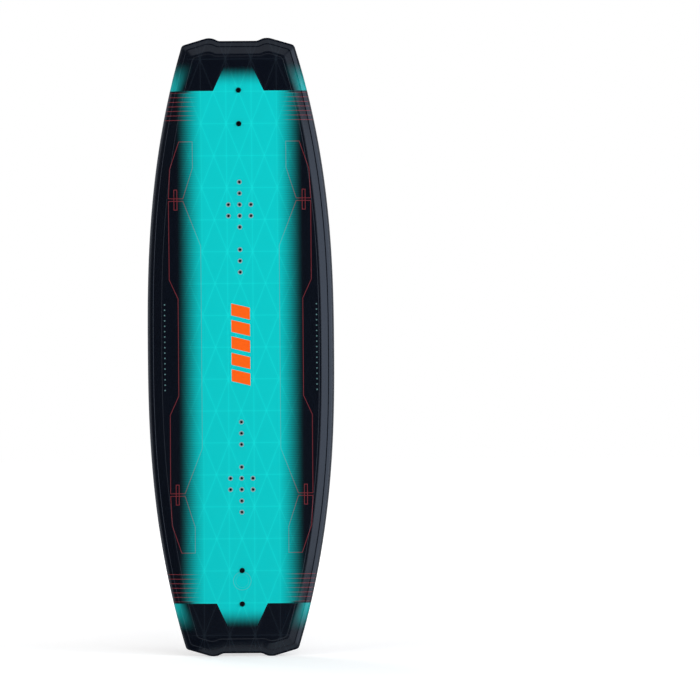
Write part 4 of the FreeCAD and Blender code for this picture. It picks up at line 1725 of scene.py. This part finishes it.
@dataclass(frozen=True)
class Studio:
    """White floor and backdrop, soft lamps, dark drapes seen in reflections, and the camera."""

    view_width: float = 1.5827
    distance: float = 8.0
    sideways: float = 0.2468
    eye_height: float = 0.6865
    roll: float = math.radians(0.45)
    clip_end: float = 100.0
    lamps: tuple[SoftBox, ...] = (
        SoftBox("right_panel", (3.1, -2.5, 1.2), (3.0, 3.4), 72.0, tint=(0.76, 0.85, 1.0)),
        SoftBox("front_high", (1.2, -4.2, 3.4), (2.6, 1.8), 42.0, seen_in_gloss=False),
        SoftBox("left_fill", (-3.0, -3.4, 1.6), (2.2, 2.4), 15.0, seen_in_gloss=False),
        SoftBox("left_glint", (-3.5, -1.9, 2.3), (0.9, 1.0), 17.0),
        SoftBox("right_glint", (2.9, -1.6, 2.2), (0.8, 0.9), 14.0),
        SoftBox("rear_left", (-2.6, 3.6, 2.2), (2.0, 2.4), 70.0),
    )
    world_light: float = 0.52
    floor_reach: float = 14.0
    floor_white: Colour = (0.8, 0.8, 0.8)
    floor_fade: tuple[float, float] = (0.4, 3.0)
    floor_glow_near: float = 0.34
    floor_glow_gain: float = 0.31
    drapes: tuple[Drape, ...] = (
        Drape("front_drape", -104.0, 18.0, hem=0.12, height=1.9, strength=0.06),
        Drape("rear_drape", 128.0, 232.0, hem=1.3, height=5.0, strength=0.16),
    )

    def see_white(self, tree: bpy.types.NodeTree) -> Field:
        """1 for camera, glossy and transmission rays, which all see the white backdrop.

        Args:
            tree: the node tree that takes the light path node.

        Returns:
            The mask.
        """
        path = tree.nodes.new("ShaderNodeLightPath").outputs
        camera = Field(tree, path["Is Camera Ray"])
        return camera.most(Field(tree, path["Is Glossy Ray"])).most(Field(tree, path["Is Transmission Ray"]))

    def world(self) -> None:
        """White backdrop for what looks at it, and an even soft light on everything."""
        world = bpy.data.worlds.new("studio")
        bpy.context.scene.world = world
        world.use_nodes = True
        tree = world.node_tree
        shown = self.see_white(tree)
        strength = shown * (1.0 - self.world_light) + self.world_light
        plug(tree, tree.nodes["Background"].inputs["Strength"], strength)
        tree.nodes["Background"].inputs["Color"].default_value = (1.0, 1.0, 1.0, 1.0)

    def floor(self) -> None:
        """Pale floor that takes the board's shadow and is white where there is none."""
        shell = Shell()
        side = np.linspace(-self.floor_reach, self.floor_reach, 3)
        plan = np.stack(np.meshgrid(side, side), axis=-1)
        shell.grid(np.concatenate([plan, np.zeros(plan.shape[:2] + (1,))], axis=-1))
        floor = shell.piece("studio_floor")
        flip = np.array([polygon.normal[2] for polygon in floor.data.polygons]) < 0
        if flip.all():
            floor.data.flip_normals()
        material = add_material("studio_floor")
        tree = material.node_tree
        base = tree.nodes["Principled BSDF"]
        base.inputs["Base Color"].default_value = (*self.floor_white, 1.0)
        base.inputs["Roughness"].default_value = 1.0
        base.inputs["Specular IOR Level"].default_value = 0.0
        base.inputs["Emission Color"].default_value = (1.0, 1.0, 1.0, 1.0)
        x, y, _ = object_axes(tree)
        away = (x * x + y * y).math("SQRT").ramp(*self.floor_fade)
        glow = away * self.floor_glow_gain + self.floor_glow_near
        plug(tree, base.inputs["Emission Strength"], self.see_white(tree) * glow)
        floor.data.materials.append(material)

    def camera(self) -> None:
        """Long lens, level with the board's middle and a little to its right."""
        data = bpy.data.cameras.new("camera")
        data.lens = data.sensor_width * self.distance / self.view_width
        data.clip_end = self.clip_end
        camera = add_object("camera", data)
        front = BoardShape.shift_y - BoardShape.centre_thickness
        camera.location = (self.sideways, front - self.distance, self.eye_height)
        camera.rotation_euler = (math.pi / 2, self.roll, 0.0)
        bpy.context.scene.camera = camera

    def build(self) -> None:
        """Set up the whole studio."""
        self.world()
        self.floor()
        for fitting in self.drapes + self.lamps:
            fitting.build()
        self.camera()
        bpy.context.scene.view_settings.view_transform = "Standard"


def main() -> None:
    """Build the board and its studio."""
    logging.basicConfig(level=logging.INFO, format="%(name)s: %(message)s")
    board = Wakeboard()
    board.skins()
    board.fins()
    board.dress_nodes()
    Studio().build()


if __name__ == "__main__":
    main()
